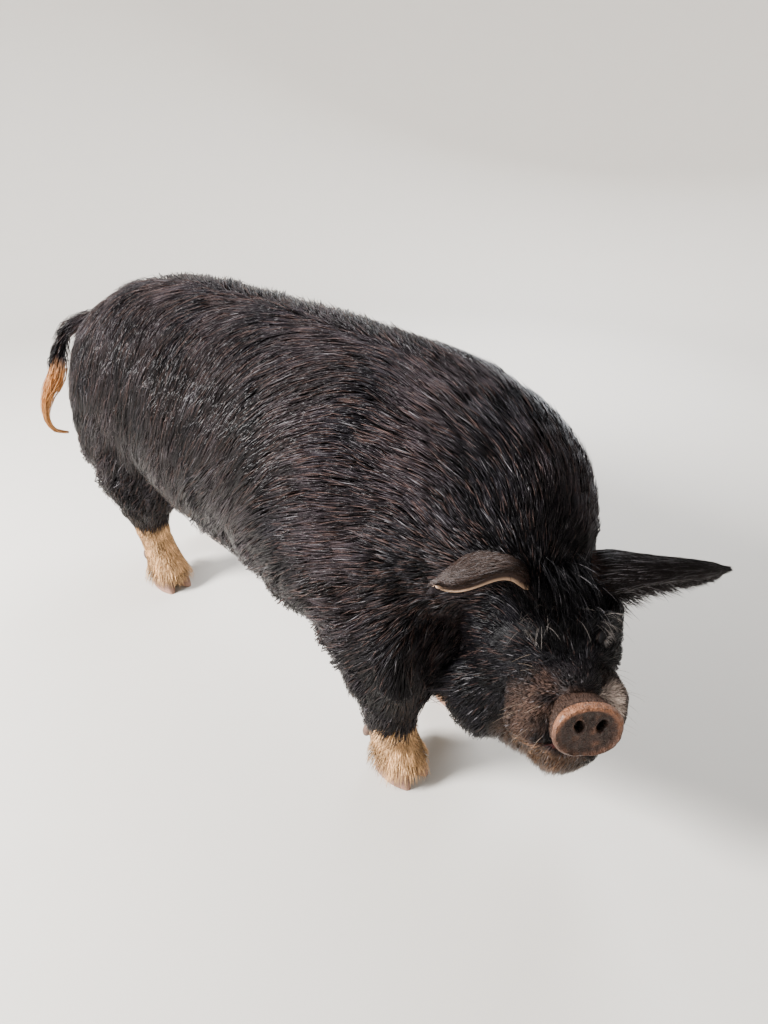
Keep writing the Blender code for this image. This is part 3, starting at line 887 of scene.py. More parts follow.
# ---- ears
# Ears along +X, front edge at -Y: x, y, z, half chord, thickness, cup
EAR_TABLES = {
    "right": (
        (-0.024, 0.008, -0.004, 0.036, 0.0060, 0.016),
        (0.008, 0.008, 0.008, 0.046, 0.0040, 0.022),
        (0.045, 0.006, 0.012, 0.047, 0.0030, 0.024),
        (0.085, 0.002, 0.004, 0.038, 0.0026, 0.020),
        (0.118, 0.000, -0.010, 0.025, 0.0022, 0.012),
        (0.140, 0.002, -0.021, 0.013, 0.0018, 0.006),
        (0.152, 0.003, -0.028, 0.005, 0.0014, 0.002),
    ),
    "left": (
        (-0.024, 0.002, -0.004, 0.042, 0.0060, 0.016),
        (0.008, 0.002, 0.004, 0.041, 0.0040, 0.020),
        (0.045, 0.001, 0.004, 0.030, 0.0032, 0.017),
        (0.085, 0.001, -0.003, 0.022, 0.0028, 0.013),
        (0.118, 0.001, -0.011, 0.016, 0.0024, 0.009),
        (0.140, 0.002, -0.019, 0.011, 0.0018, 0.005),
        (0.152, 0.003, -0.026, 0.005, 0.0014, 0.002),
    ),
}
EARS = {  # root in the head's frame, swing forward, lift, front edge down, size, arch of that edge
    "right": ((-0.078, -0.030, 0.092), 26, 20, 0, 0.84, 0.0170),
    "left": ((0.080, -0.028, 0.080), 18, 10, 40, 0.94, 0.0050),
}
EAR_HAIR = {  # of the back: rise of the tips, edge, share of brown, grey from, share of grey; the grey is partly painted glints
    "right": (0.0075, -0.88, 0.80, 0.92, 0.5),
    "left": (0.0030, -1.2, 0.15, 0.84, 0.7),
}


def ear_place(side):
    """Matrix from the ear's own frame: dipped, lifted, swung, mirrored for the right side."""
    root, swing, lift, dip, size, _ = EARS[side]
    pose = Euler([math.radians(v) for v in (dip, -lift, -swing)]).to_matrix().to_4x4()
    heading = Matrix.Rotation(math.radians(-HEAD_TURN), 4, "Z")
    mirror = Matrix.Diagonal((SIDES[side], 1, 1, 1))
    place = Matrix.Translation(HEAD @ Vector(root))
    return place @ heading @ mirror @ pose @ Matrix.Scale(size, 4)


def ear_spot(side, u, v, face):
    """Spot of the leaf: u from root to tip, v across from -1 in front to 1; face 1 is the back.

    Stations are eased into one another; the section is a bowl, cup * v^2 low at the edges,
    which roll in at the ends.
    """
    x, y, z, chord, thick, cup = np.moveaxis(along_table(EAR_TABLES[side], u), -1, 0)
    curl = step(0.72, 1.0, np.abs(v))
    arch = EARS[side][-1] * bell(u - 0.40, 0.20)
    wave = 0.0024 * np.sin(9 * u + 2.2 * v) * v**2 + arch * np.clip(-v, 0, 1) ** 2
    down = cup * v**2 + 0.45 * cup * curl
    across = chord * (v - 0.16 * np.sign(v) * curl)
    half = thick * np.sqrt(np.clip(1 - v**2, 0, 1)) + 0.0006
    ribs = 0.0007 * np.sin(v * 17) * step(0.95, 0.7, np.abs(v)) * step(0.0, 0.25, u)
    up = z + wave - down + face * half + np.where(face < 0, ribs, 0)
    return np.stack([x, y + across, up], axis=-1)


class PIG_OT_ears(bpy.types.Operator):
    """Cupped ears with a rolled rim, dark inside with painted shade in the hollow, hanging over the
    eyes
    """

    bl_idname = "pig.ears"
    bl_label = "Ears"

    def execute(self, context):
        for side in SIDES:
            place = ear_place(side)
            u = np.linspace(0, 1, 90)[:, None]
            turn = np.linspace(0, TURN, 96, endpoint=False)[None, :]
            u, v = np.broadcast_arrays(u, np.cos(turn))
            face = np.where(np.sin(turn) + 1e-9 > 0, 1, -1) * np.ones_like(u)
            ear = sheet(f"ear_{side}_leather", moved(place, ear_spot(side, u, v, face)))
            ear.modifiers.new("soft", "SMOOTH").iterations = 3
            settle(ear)
            ear.data.shade_smooth()
            reshape(ear.data)
            edge = on_sheet(step(0.92, 0.995, np.abs(v)), 0, 1)
            tip = on_sheet(step(0.80, 1.0, u), 0, 1)
            # Inside of the leaf: dark skin, darkened further as painted shade under the leaf
            inside = on_sheet(face < 0, 0, 0) * (1 - edge)
            rim = np.clip(edge + 0.6 * tip, 0, 1) * 0.85
            tint = mix(shade("ear"), shade("ear_rim"), rim)
            paint(ear, mix(tint, shade("ear_hollow"), inside * 0.9))
            keep(ear, skin_material(), "ear_leather", "ear_" + side)
            self.hair(side, place)
        return {"FINISHED"}

    def hair(self, side, place):
        """Hair of the leaf: each blade keeps its v while u grows, a little off the leaf."""
        rng = random_of("ears")
        rise, edge, brown, grey_from, grey = EAR_HAIR[side]
        groups = [  # name, face, number, length, rise of the tips, fanned forward
            ("back", 1, 7500, 0.27, rise, 0.0),
            ("hollow", -1, 2000, 0.24, 0.0075, 0.0),
            ("fringe", 1, 1300, 0.15, 0.0010, 0.55),
        ]
        grow = np.linspace(0, 1, 3)
        for name, face, count, long, rise, sweep in groups if side == "left" else groups[:2]:
            u = rng.random(count) ** 0.8 * 0.93
            v = rng.uniform(-0.84 if face > 0 else -0.95, 0.99, count)
            if sweep:
                v = -0.97 + 0.25 * rng.random(count) ** 2
            reach = long * (0.6 + 0.6 * rng.random(count)) * (1.1 - 0.55 * u)
            fan = 0.20 * rng.normal(size=count)
            fan -= sweep * (0.3 + 0.9 * rng.random(count)) * (1.1 - 0.8 * u)
            us, vs = (a[:, None] + b[:, None] * grow for a, b in ((u, reach), (v, fan)))
            front = -1 if face < 0 else -2.0 if sweep else edge
            spots = ear_spot(side, np.clip(us, 0, 1.03), np.clip(vs, front, 1.2), face)
            beyond = np.maximum(us - 1, 0)
            spots[..., 0] += 0.11 * beyond
            lifted = face * rise * grow * (0.4 + 0.8 * rng.random(count))[:, None]
            spots[..., 2] += lifted - 0.05 * beyond - 0.0006 * face * (grow == 0)
            dark, light = ("face", "ear_hair") if face > 0 else ("coat", "brown")
            share = np.clip(brown * (1.1 - 0.6 * rng.random(count)), 0, 1)
            tint = mix(shade(dark), shade(light), share)
            # Grey hairs on the back of the leaf: partly grey hair, partly painted glints along it,
            # more on the left ear
            tint = mix(tint, shade("grey"), (rng.random(count) > grey_from) * grey * (face > 0))
            tint = tint * (0.40 + 1.1 * rng.random(count))[:, None]
            # Darker at the root as painted shade among the hairs, lighter at the tip
            tints = tint[:, None] * np.array((0.6, 1.0, 1.2))[None, :, None]
            widths = (0.0004 + 0.0003 * rng.random(count))[:, None] * TAPER
            patch = np.stack([0.02 + 0.96 * u, 0.02 + 0.96 * (v + 1) / 2], axis=1)
            ups = turned(place, (0, 0, face))
            piece = tufts(f"ear_{side}_{name}_hair", moved(place, spots), ups, widths, tints, patch)
            keep(piece, hair_material(piece.name, 0.42), "ear_leather")


# ---- hoofs
def horn_material():
    """Hoof horn: growth rings round the toe and fine upright lines, dull."""
    kit = Kit("hoof horn", Specular_IOR_Level=0.4)
    tint = kit.attribute("tint")
    rings = kit.noise(60.0, 3.0, (0.5, 0.5, 9.0))
    lines = kit.noise(160.0, 3.0, (6.0, 6.0, 0.7))
    return kit.finish(
        Base_Color=kit.flecked(0.6, tint, rings + lines),
        Roughness=0.42 + lines * 0.3,
        Normal=kit.bump(rings + lines * 0.5, 0.0009, 0.6),
    )


class PIG_OT_hoofs(bpy.types.Operator):
    """Cloven hoofs standing flat, and the dewclaws behind them"""

    bl_idname = "pig.hoofs"
    bl_label = "Hoofs"

    def execute(self, context):
        material = horn_material()
        for foot in FEET:
            for hand in HANDS:
                self.toe(foot, hand, material)
                self.dewclaw(foot, hand, material)
        return {"FINISHED"}

    def toe(self, foot, hand, material):
        """Superellipse sections, nose along -Y, leaning back and narrowing to the coronet."""
        low, high = box(f"claw_{foot}_{hand}")
        centre, half = (low + high) / 2, (high - low) / 2
        t = np.linspace(0, 1, 30)[:, None]
        x, y = ring(np.linspace(0, TURN, 56, endpoint=False)[None, :], 2.4, 1.0, 1.0)
        lean = 1 - 0.16 * t - 0.10 * step(0.12, 0.0, t)
        inner = (-1 if foot.endswith("left") else 1) * (1 if hand == "inner" else -1)
        flat = 1 - 0.16 * step(0.1, 0.9, x * inner)
        nose = 1 - 0.30 * step(0.1, 1.0, -y)
        spots = places(
            centre[0] + half[0] * x * lean * flat * nose,
            centre[1] + half[1] * (y * (0.99 - 0.13 * t) + 0.10 * t),
            high[2] * t + 0.004 * step(0.2, 1.0, y) * t,
        )
        toe = sheet(f"toe_{foot}_{hand}", spots)
        worn = on_sheet(t * np.ones_like(x), 0, 1)
        paint(toe, mix(shade("horn_worn"), shade("horn"), step(0.0, 0.5, worn)))
        keep(toe, material, "hoof_horn", f"claw_{foot}_{hand}")

    def dewclaw(self, foot, hand, material):
        """Small cone: superellipse sections leaning down and back to a blunt point."""
        low, high = box(f"dewclaw_{foot}_{hand}")
        centre, half = (low + high) / 2, (high - low) / 2
        t = np.linspace(0, 1, 20)[:, None]
        angle = np.linspace(0, TURN, 32, endpoint=False)[None, :]
        x, y = ring(angle, 2.2, half[0], half[1] * 0.9)
        size = 0.9 * np.sqrt(np.clip(1 - (1.9 * t - 0.9) ** 2, 0.02, 1)) * (0.75 + 0.25 * t)
        base = low[2] + 0.003
        spots = places(
            centre[0] + x * size,
            centre[1] + y * size + 0.003 - 0.010 * t,
            base + (high[2] - base) * t,
        )
        claw = sheet(f"spur_{foot}_{hand}", spots)
        paint(claw, shade("horn", 0.6))
        keep(claw, material, "hoof_horn", f"dewclaw_{foot}_{hand}")


# ---- hair
TRUNK_ANGLES = (  # share from the rump's end forwards; degrees below the axis on flank and back
    (0.00, 56.0, 76.0),
    (0.25, 62.0, 94.0),
    (0.40, 62.0, 94.0),
    (0.55, 58.0, 88.0),
    (0.72, 50.0, 76.0),
    (0.86, 40.0, 56.0),
    (0.95, 30.0, 38.0),
    (1.05, 26.0, 28.0),
)
DOCK_WAY = np.array((-0.75, 0.10, -0.65))
SPINE_X = 0.01
PATCH = 0.003  # width of a blade on the map OFBake
MARGIN = 0.01  # free edge of that map


def in_world(vectors):
    """Directions of the head's frame turned into the world's."""
    return turned(HEAD.to_3x3().normalized().to_4x4(), vectors)


def lie(p, n):
    """Direction of the hair: back and down the barrel, away from the snout, down the legs."""
    away = (RUMP_Y - p[:, 1]) / (RUMP_Y - SHOULDER_Y)
    shares, flank, back = zip(*TRUNK_ANGLES)
    flank, back = (np.interp(away, shares, angles) for angles in (flank, back))
    fall = flank + (back - flank) * step(0.05, 0.7, n[:, 2]) + 7 * drift(p, 0.13, 41)
    spine = step(0.10, 0.0, np.abs(p[:, 0] - SPINE_X + 0.012 * drift(p, 0.07, 45)))
    fall = np.radians(fall * (1 - 0.60 * spine * step(0.5, 0.9, n[:, 2])))[:, None]
    h = moved(TO_HEAD, p)

    def along_skin(way):
        flat = off(way, n)
        return flat / np.maximum(length_of(flat), 0.3)[:, None]

    downhill = along_skin(places(0.75 * np.tanh(p[:, 0] / 0.02), 0, -1))
    trunk = along_skin((0, 1, 0)) * np.cos(fall) + downhill * np.sin(fall)
    neck = unit(unit(p - HEAD_AT) + (0, 0.25, -0.45))
    face = unit(h - (0.0, -0.26, 0.02)) + places(0, 0, -0.9 * step(0.05, -0.10, h[:, 2]))
    leg = unit(places(0.1 * np.sign(p[:, 0]), 0.22, -1))
    way = mix(trunk, neck, step(0.93, 1.03, away))
    way = mix(way, leg, limb_weight(p))
    way = mix(way, in_world(face), head_weight(p))
    way = mix(way, DOCK_WAY, dock_weight(p))
    return unit(off(way, n) + 1e-6 * n)


def draped(skin, points, heights):
    """Places over the skin: its nearest spot plus its outward direction times a height."""
    cloud = bpy.data.meshes.new("cloud")
    cloud.vertices.add(len(points))
    cloud.vertices.foreach_set("co", points.astype(np.float32).ravel())
    probe = new_object("cloud", cloud)
    wrap = probe.modifiers.new("wrap", "SHRINKWRAP")
    wrap.target = skin
    wrap.wrap_method = "NEAREST_SURFACEPOINT"
    wrap.wrap_mode = "ABOVE_SURFACE"
    levels = []
    apart = 0.01
    for offset in (0.0, apart):
        wrap.offset = offset
        laid = probe.evaluated_get(bpy.context.evaluated_depsgraph_get()).data
        levels.append(read(laid.vertices, "co", 3).astype(float))
    bpy.data.objects.remove(probe)
    out = (levels[1] - levels[0]) / apart
    return levels[0] + out * heights[:, None], unit(out)


def scatter(skin, density, rng):
    """Even random spots: as many to a triangle as its area times the density at its middle."""
    points, normals, tris = surface(skin)
    corners = points[tris]
    sides = corners[:, 1:] - corners[:, :1]
    area = length_of(np.cross(sides[:, 0], sides[:, 1])) / 2
    wanted = np.cumsum(area * density(corners.mean(axis=1)))
    count = int(wanted[-1])
    pick = np.searchsorted(wanted, (np.arange(count) + rng.random(count)) * wanted[-1] / count)
    pick = np.minimum(pick, len(tris) - 1)
    a, b = rng.random((2, count, 1))
    flip = a + b > 1
    a, b = np.where(flip, 1 - a, a), np.where(flip, 1 - b, b)
    share = np.concatenate([1 - a - b, a, b], axis=1)[:, :, None]
    return np.sum(corners[pick] * share, axis=1), unit(np.sum(normals[tris[pick]] * share, axis=1))


def clumps(points, size, seed):
    """Number of the clump of each spot: a cubic cell, its walls bent by smooth noise."""
    bend = np.stack([drift(points, size * 3.1, seed + k) for k in range(3)], axis=1) * size * 0.45
    cells = np.floor((points + bend) / size).astype(int)
    return np.unique(cells, axis=0, return_inverse=True)[1].ravel()


def towards_mean(values, group, share):
    """Rows drawn by a share to the mean of their group."""
    count = np.bincount(group)
    total = np.stack([np.bincount(group, column) for column in values.T], axis=1)
    return values + ((total / count[:, None])[group] - values) * share[:, None]


def chart(points, axis_at, along, across):
    """Unwrap of a limb or a barrel: turn about its axis and distance along it, both from 0 to 1."""
    along, across = np.array(along, float), np.array(across, float)
    rel = points - np.array(axis_at)
    turn = np.arctan2(rel @ np.cross(along, across), rel @ across) / TURN + 0.5
    far = rel @ along
    far = (far - far.min()) / max(float(np.ptp(far)), 1e-6)
    return MARGIN + (1 - 2 * MARGIN) * np.stack([turn, far], axis=1)


def tufts(name, paths, ups, widths, tints, spots, flat=0.5):
    """Closed three-sided blades, one along each path (blades, stations, 3), each ending in a point.

    The section at a station is a triangle, half its width across the lie and flat times that
    high; tints are given per station. Each blade has its own patch of the map OFBake, at its
    spot of the skin's unwrap.
    """
    count, stations = paths.shape[:2]
    along = unit(np.gradient(paths, axis=1))
    side = unit(np.cross(along, np.broadcast_to(ups, (count, 3))[:, None]))
    over = np.cross(side, along)[:, :-1, None]
    side = side[:, :-1, None]
    angle = np.radians((90, 210, 330))[:, None]
    width = widths[:, :-1, None, None]
    rings = paths[:, :-1, None] + width * (np.cos(angle) * side + flat * np.sin(angle) * over)
    points = np.concatenate([rings.reshape(count, -1, 3), paths[:, -1:]], axis=1)
    each = points.shape[1]
    a = np.arange(3)
    b = (a + 1) % 3
    lift = 3 * np.arange(stations - 2)[:, None]
    last = 3 * (stations - 2)
    quads = np.stack([a + lift, a + lift + 3, b + lift + 3, b + lift], axis=-1).reshape(-1, 4)
    tris = np.vstack([np.stack([a + last, np.full(3, each - 1), b + last], axis=-1), (0, 1, 2)])
    shift = each * np.arange(count)[:, None, None]
    faces = [(quads + shift).reshape(-1, 4), (tris + shift).reshape(-1, 3)]
    obj = solid(name, points.reshape(-1, 3), faces)
    level = np.append(np.repeat(np.arange(stations - 1), 3), stations - 1)
    paint(obj, tints[:, level].reshape(-1, 3))
    around = np.append(np.tile((0, 0.5, 1), stations - 1), 0.5)
    inside = np.stack([around, level / (stations - 1)], axis=1) - 0.5
    charted = (spots[:, None] + PATCH * inside).reshape(-1, 2)
    corners = read(obj.data.loops, "vertex_index", 1, np.int32).ravel()
    layer = obj.data.uv_layers.new(name="OFBake")
    layer.uv.foreach_set("vector", charted[corners].astype(np.float32).ravel())
    return obj


# ---- coat
TUFTS = {  # to the square metre
    "flank": 58000,
    "neck": 68000,
    "leg": 60000,
    "foot": 120000,
    "face": 100000,
    "muzzle": 220000,
}
LENGTHS = {  # of the hair, in metres; brow and cheek are over the muzzle's, coronet over the foot's
    "flank": 0.076,
    "neck": 0.050,
    "dock": 0.050,
    "leg": 0.042,
    "foot": 0.019,
    "coronet": 0.012,
    "muzzle": 0.010,
    "brow": 0.026,
    "cheek": 0.058,
    "chin": 0.042,
}
CLUMP, SMALL_CLUMP = 0.019, 0.008
ROOT_SINK = 0.0012  # how deep a tuft's root lies in the skin, and how far a pressed tip is off it
LOWEST = 0.0015  # height of the lowest hair over the floor
HALF_WIDTH = (0.0008, 0.0005)  # least, and the range over it
FEWEST = 3  # tufts in a piece
SWING = {"clump": 14, "tuft": 7, "wave": 24, "wavy_clump": 46}  # degrees off the lie
GINGER_AT = np.array(HEAD @ Vector((-0.16, 0.06, 0.02)))  # sun-bleached hair behind the near ear


def coat_density(p):
    """Tufts to the square metre, in step with how coarse the hair is."""
    h = moved(TO_HEAD, p)
    head = head_weight(p)
    body = between(TUFTS["flank"], TUFTS["neck"], step(SHOULDER_Y + 0.15, SHOULDER_Y, p[:, 1]))
    leg = between(TUFTS["leg"], TUFTS["foot"], foot_weight(p))
    face = between(TUFTS["face"], TUFTS["muzzle"], step(-0.11, -0.16, h[:, 1]))
    density = between(between(body, leg, limb_weight(p)), face, head)
    # None on the eyes, inside the lips, ahead of the snout disc and on the hoofs
    over, mouth = from_mouth(h)
    lips = bell(over, 0.0050, 4) * mouth * under_disc(h)
    disc = np.where(head > 0.5, step(-0.004, 0.006, behind_disc(h)), 1)
    bare = clear_of_eyes(p, 0.0100, 0.0135) * disc * step(0.030, 0.038, p[:, 2]) * (1 - lips)
    return density * bare * setting("coat").density


def coat_length(p):
    """Length of the hair: long on flanks and belly, shorter on the neck, a stubble on the feet."""
    h = moved(TO_HEAD, p)
    neck = step(SHOULDER_Y + 0.28, SHOULDER_Y, p[:, 1])
    body = between(LENGTHS["flank"], LENGTHS["neck"], neck)
    body = between(body, LENGTHS["dock"], dock_weight(p))
    leg = between(LENGTHS["leg"], LENGTHS["foot"], foot_weight(p))
    leg = leg + LENGTHS["coronet"] * step(0.070, 0.045, p[:, 2])
    cheek = between(LENGTHS["brow"], LENGTHS["cheek"], step(-0.02, -0.10, h[:, 2]))
    face = LENGTHS["muzzle"] + cheek * step(-0.19, -0.06, h[:, 1])
    chin = step(-0.085, -0.120, h[:, 2]) * step(-0.02, -0.12, h[:, 1])
    face = between(face, LENGTHS["chin"], chin)
    length = between(between(body, leg, limb_weight(p)), face, head_weight(p))
    return length * setting("coat").length


class PIG_OT_coat(bpy.types.Operator):
    """Bristly coat of body, head and legs: thin tufts laid along the lie of the hair, in clumps"""

    bl_idname = "pig.coat"
    bl_label = "Coat"

    def execute(self, context):
        rng = random_of("coat")
        skin = bpy.data.objects["skin"]
        p, n = scatter(skin, coat_density, rng)
        count = len(p)
        h = moved(TO_HEAD, p)
        head, limb, dock = head_weight(p), limb_weight(p), dock_weight(p)
        fine = np.maximum(head * step(-0.02, -0.16, h[:, 1]), limb * foot_weight(p))
        # Clumps are long down the flank, and those of head and legs are apart from the body's
        pressed = p - np.array((0.0, 0.45, -0.45)) * (p @ np.array((0.0, 0.7, -0.7)))[:, None]
        combed = np.where((np.maximum(head, limb) > 0.5)[:, None], p + 5.0, pressed)
        group = clumps(combed, CLUMP, 50)
        small = clumps(combed + 0.5, SMALL_CLUMP, 60)
        aside, growth, stand, pull = (rng.random((group.max() + 1, 4))[group]).T
        # Each tuft swings off the lie, in waves low on the body
        way = lie(p, n)
        wavy = step(0.42, 0.30, p[:, 2]) * (1 - np.maximum(head, limb))
        aside = aside - 0.5
        swing = SWING["clump"] * aside + SWING["tuft"] * rng.normal(size=count)
        swing = swing * (1 - 0.45 * fine)
        swing = swing + wavy * (SWING["wave"] * drift(p, 0.055, 43) + SWING["wavy_clump"] * aside)
        swing = np.radians(swing)[:, None]
        way = unit(way * np.cos(swing) + np.cross(n, way) * np.sin(swing))
        length = coat_length(p) * (0.72 + 0.42 * rng.random(count))
        length = (length * (0.82 + 0.36 * growth))[:, None]
        # How far it stands off the skin, most along the crest
        layer = 0.70 - 0.20 * wavy + (0.55 + 0.45 * wavy) * stand
        depth = coat_depth(p) * (0.80 + 0.45 * rng.random(count)) * layer
        depth = depth * (1 + 0.55 * wavy * drift(p, 0.030, 44) + 1.7 * dock)
        depth = np.maximum(depth, 0.0018 * step(0.0, 0.5, head))
        crest = step(0.055, 0.015, np.abs(p[:, 0] - SPINE_X)) * step(0.4, 0.8, n[:, 2])
        crest = crest * (1 - head) * step(RUMP_Y - 0.05, RUMP_Y - 0.30, p[:, 1])
        depth = depth * (1 + 0.55 * crest * rng.random(count))
        bend, _ = draped(skin, p + way * length * 0.5, depth * 0.62)
        tip, tip_up = draped(skin, p + way * length, depth * (0.55 + 0.5 * rng.random(count)))
        # Hair of belly, chin and elbows hangs free instead of lying on the skin
        beard = step(-0.085, -0.120, h[:, 2]) * head
        free = step(0.1, -0.5, n[:, 2]) * (0.35 + 0.45 * rng.random(count)) * (1 - fine)
        free = free * step(0.12, 0.20, p[:, 2])
        tuft = beard * step(0.35, -0.1, n[:, 2]) * (0.4 + 0.6 * rng.random(count))
        free = np.maximum(free, tuft)[:, None]
        hang = p + way * length * 0.55 - length * (0.62 - 0.20 * beard)[:, None] * (0, 0, 1)
        tip = tip + (hang - tip) * 0.75 * free
        bend = bend + (hang - p) * 0.12 * free
        # Hair at the coronet falls free over the hoofs
        fringe = (limb * step(0.066, 0.046, p[:, 2]))[:, None]
        drop = unit(places(n[:, 0], n[:, 1], -2.6) + 0.12 * rng.normal(size=(count, 3)))
        tip = tip + (p + drop * length + n * 0.004 - tip) * fringe
        bend = bend + (p + drop * length * 0.5 + n * 0.004 - bend) * fringe
        # Tips are drawn together in each clump, and lifted where that sinks them
        low = step(0.15, -0.45, n[:, 2]) * (1 - fine)
        gather = 0.30 + 0.30 * pull + 0.25 * low + 0.35 * wavy
        gather = gather * (1 - 0.6 * fine)
        tip = towards_mean(tip, group, (0.40 + 0.30 * wavy) * gather)
        tip = towards_mean(tip, small, 0.75 * gather)
        lifted, _ = draped(skin, tip, np.full(count, ROOT_SINK))
        sunk = np.sum((tip - lifted) * tip_up, axis=1, keepdims=True) < 0
        tip = np.where(sunk & (fringe < 0.5), lifted, tip)
        paths = np.stack([p - n * ROOT_SINK, bend, tip], axis=1)
        paths[..., 2] = np.maximum(paths[..., 2], LOWEST)
        width = HALF_WIDTH[0] + HALF_WIDTH[1] * rng.random(count)
        width = width * (1 - 0.40 * fine) * setting("coat").width
        widths = width[:, None] * TAPER
        tints = self.tints(p, combed, rng, growth)
        for name, where, axis, slot in self.pieces(p, h, head, limb):
            if where.sum() < FEWEST:
                raise RuntimeError("no tufts for " + name)
            patch = chart(p[where], *axis)
            piece = tufts(name, paths[where], n[where], widths[where], tints[where], patch)
            gloss = 0.30 if slot == "black_coat" else 0.38
            keep(piece, hair_material(name + " hair", gloss), slot)
        return {"FINISHED"}

    def tints(self, p, combed, rng, growth):
        """Markings times a tone of clump and tuft: mostly dark, some rust brown, a few grey that
        also stand for painted glints, more of them on the head.
        """
        count = len(p)
        head = head_weight(p)
        base = markings(p)
        tone = (0.42 + 0.95 * growth) * (0.50 + 0.95 * rng.random(count))
        tone = tone * (1 + 0.28 * drift(combed, 0.05, 61))
        kind = rng.random(count)
        dark = step(0.30, 0.10, base.max(axis=1))
        rusty = 0.15 - 0.11 * head + 0.34 * bell(length_of(p - GINGER_AT), 0.11)
        share = dark * (kind < rusty) * (0.3 + 0.5 * rng.random(count))
        tint = mix(base * tone[:, None], shade("rust"), share)
        # Grey tufts: partly grey hair, partly painted glints, more of them on the head
        share = dark * (kind > 0.985 - 0.012 * head) * (0.25 + 0.35 * rng.random(count))
        tint = mix(tint, shade("grey"), share)
        chin = chin_weight(moved(TO_HEAD, p)) * head
        shaded = (chin > 0.3) & (rng.random(count) < 0.30)
        tint = mix(tint, shade("coat"), 0.75 * shaded)
        # Darker at the root as painted shade among the hairs, lighter towards the tip; on the chin
        # the tips are lighter still
        station = np.array((0.45, 0.95, 1.30)) + chin[:, None] * np.array((-0.15, -0.10, 0.50))
        return tint[:, None, :] * station[..., None]

    def pieces(self, p, h, head, limb):
        """Name, choice of tufts, axis with its direction and one across, and slot of each piece."""
        on_head = head > 0.5
        on_limb = (limb > 0.5) & ~on_head
        face = HEAD @ Vector((0, -0.1, -0.04)), in_world((0, -1, 0)), in_world((0, 0, 1))
        y, z = h[:, 1], h[:, 2]
        muzzle = on_head & (y < -0.135)
        cheeks = on_head & ~muzzle
        yield "coat_muzzle", muzzle & (z >= -0.07), face, "face_hair"
        yield "coat_chin", muzzle & (z < -0.07), face, "face_hair"
        yield "coat_brow", cheeks & (z > -0.02), face, "face_hair"
        for side, sign in SIDES.items():
            here = cheeks & (z <= -0.02) & (h[:, 0] * sign >= 0)
            yield "coat_cheek_" + side, here, face, "face_hair"
        for foot in FEET:
            x, y = FOOT_AT[foot][:2]
            near = on_limb & (p[:, 0] * x > 0) & ((p[:, 1] - 0.05) * (y - 0.05) > 0)
            yield "coat_leg_" + foot, near, ((x, y + 0.02, 0), (0, 0, 1), (0, 1, 0)), "leg_hair"
        rest = ~on_head & ~on_limb
        barrel = (0, 0, BARREL_Z), (0, 1, 0), (0, 0, 1)
        names = ("coat_neck", "coat_shoulder", "coat_barrel", "coat_loin", "coat_rump")
        cuts = np.quantile(p[rest][:, 1], np.linspace(0, 1, len(names) + 1))
        cuts[0], cuts[-1] = -9, 9
        for name, low, high in zip(names, cuts[:-1], cuts[1:]):
            yield name, rest & (p[:, 1] >= low) & (p[:, 1] < high), barrel, "black_coat"


# ---- tail
TAIL = (  # loop of the tail's brush: x, y, z, half width
    (-0.128, 0.633, 0.450, 0.017),
    (-0.150, 0.624, 0.412, 0.018),
    (-0.176, 0.621, 0.378, 0.012),
    (-0.187, 0.627, 0.335, 0.0065),
    (-0.176, 0.630, 0.300, 0.0050),
    (-0.150, 0.624, 0.287, 0.0040),
)
BRUSH_HAIRS, BRUSH_HALF_WIDTH = 1700, 0.0007


class PIG_OT_tail(bpy.types.Operator):
    """Ginger brush that hangs in a loop from the tail's root"""

    bl_idname = "pig.tail"
    bl_label = "Tail brush"

    def execute(self, context):
        """Each hair follows a stretch of the loop, at its own distance and turn round it."""
        rng = random_of("tail")
        count = BRUSH_HAIRS
        grow = np.linspace(0, 1, 6)
        start = rng.random(count) ** 1.3 * 0.62
        t = start[:, None] + (0.28 + 0.25 * rng.random(count))[:, None] * grow
        path = along_table(TAIL, t)
        core = path[..., :3]
        tangent = unit(np.gradient(core, axis=1))
        across = unit(np.cross(tangent, (0.0, 1.0, 0.0)))
        over = np.cross(across, tangent)
        angle = rng.random(count) * TURN
        loose = np.sqrt(rng.random(count)) * np.where(rng.random(count) > 0.85, 1.45, 0.9)
        spread = loose[:, None] * path[..., 3] * np.linspace(0.7, 1.0, 6) * (1 - 0.45 * t**2)
        twist = angle[:, None] + 0.8 * grow * rng.normal(size=count)[:, None]
        away = np.cos(twist)[..., None] * across + np.sin(twist)[..., None] * over
        paths = core + spread[..., None] * away
        taper = np.array((1.0, 1.0, 0.95, 0.8, 0.55, 0.0))
        widths = BRUSH_HALF_WIDTH * taper * (0.7 + 0.6 * rng.random(count))[:, None]
        tone = (0.45 + 0.9 * rng.random(count))[:, None]
        tint = mix(shade("brush"), shade("tan"), 0.4 * rng.random(count)) * tone
        root = step(0.20, 0.02, t)[..., None]
        tints = tint[:, None] * (1 - root) + shade("brown") * root
        patch = chart(paths[:, 0], (-0.16, 0.63, 0.4), (0, 0, -1), (1, 0, 0))
        brush = tufts("tail_brush", paths, over[:, 0], widths, tints, patch, flat=0.8)
        keep(brush, hair_material("tail hair", 0.42), "ginger_switch", "tail_switch")
        return {"FINISHED"}


# ---- whiskers
LASH_COUNT, LASH_LENGTH, LASH_HALF_WIDTH = 70, 0.011, 0.00028
LASH_SPAN = (12, 168)  # degrees round the sight, from one corner of the eye over the top
LASH_EDGE = math.radians(22)  # height of the lid's edge over the line of sight


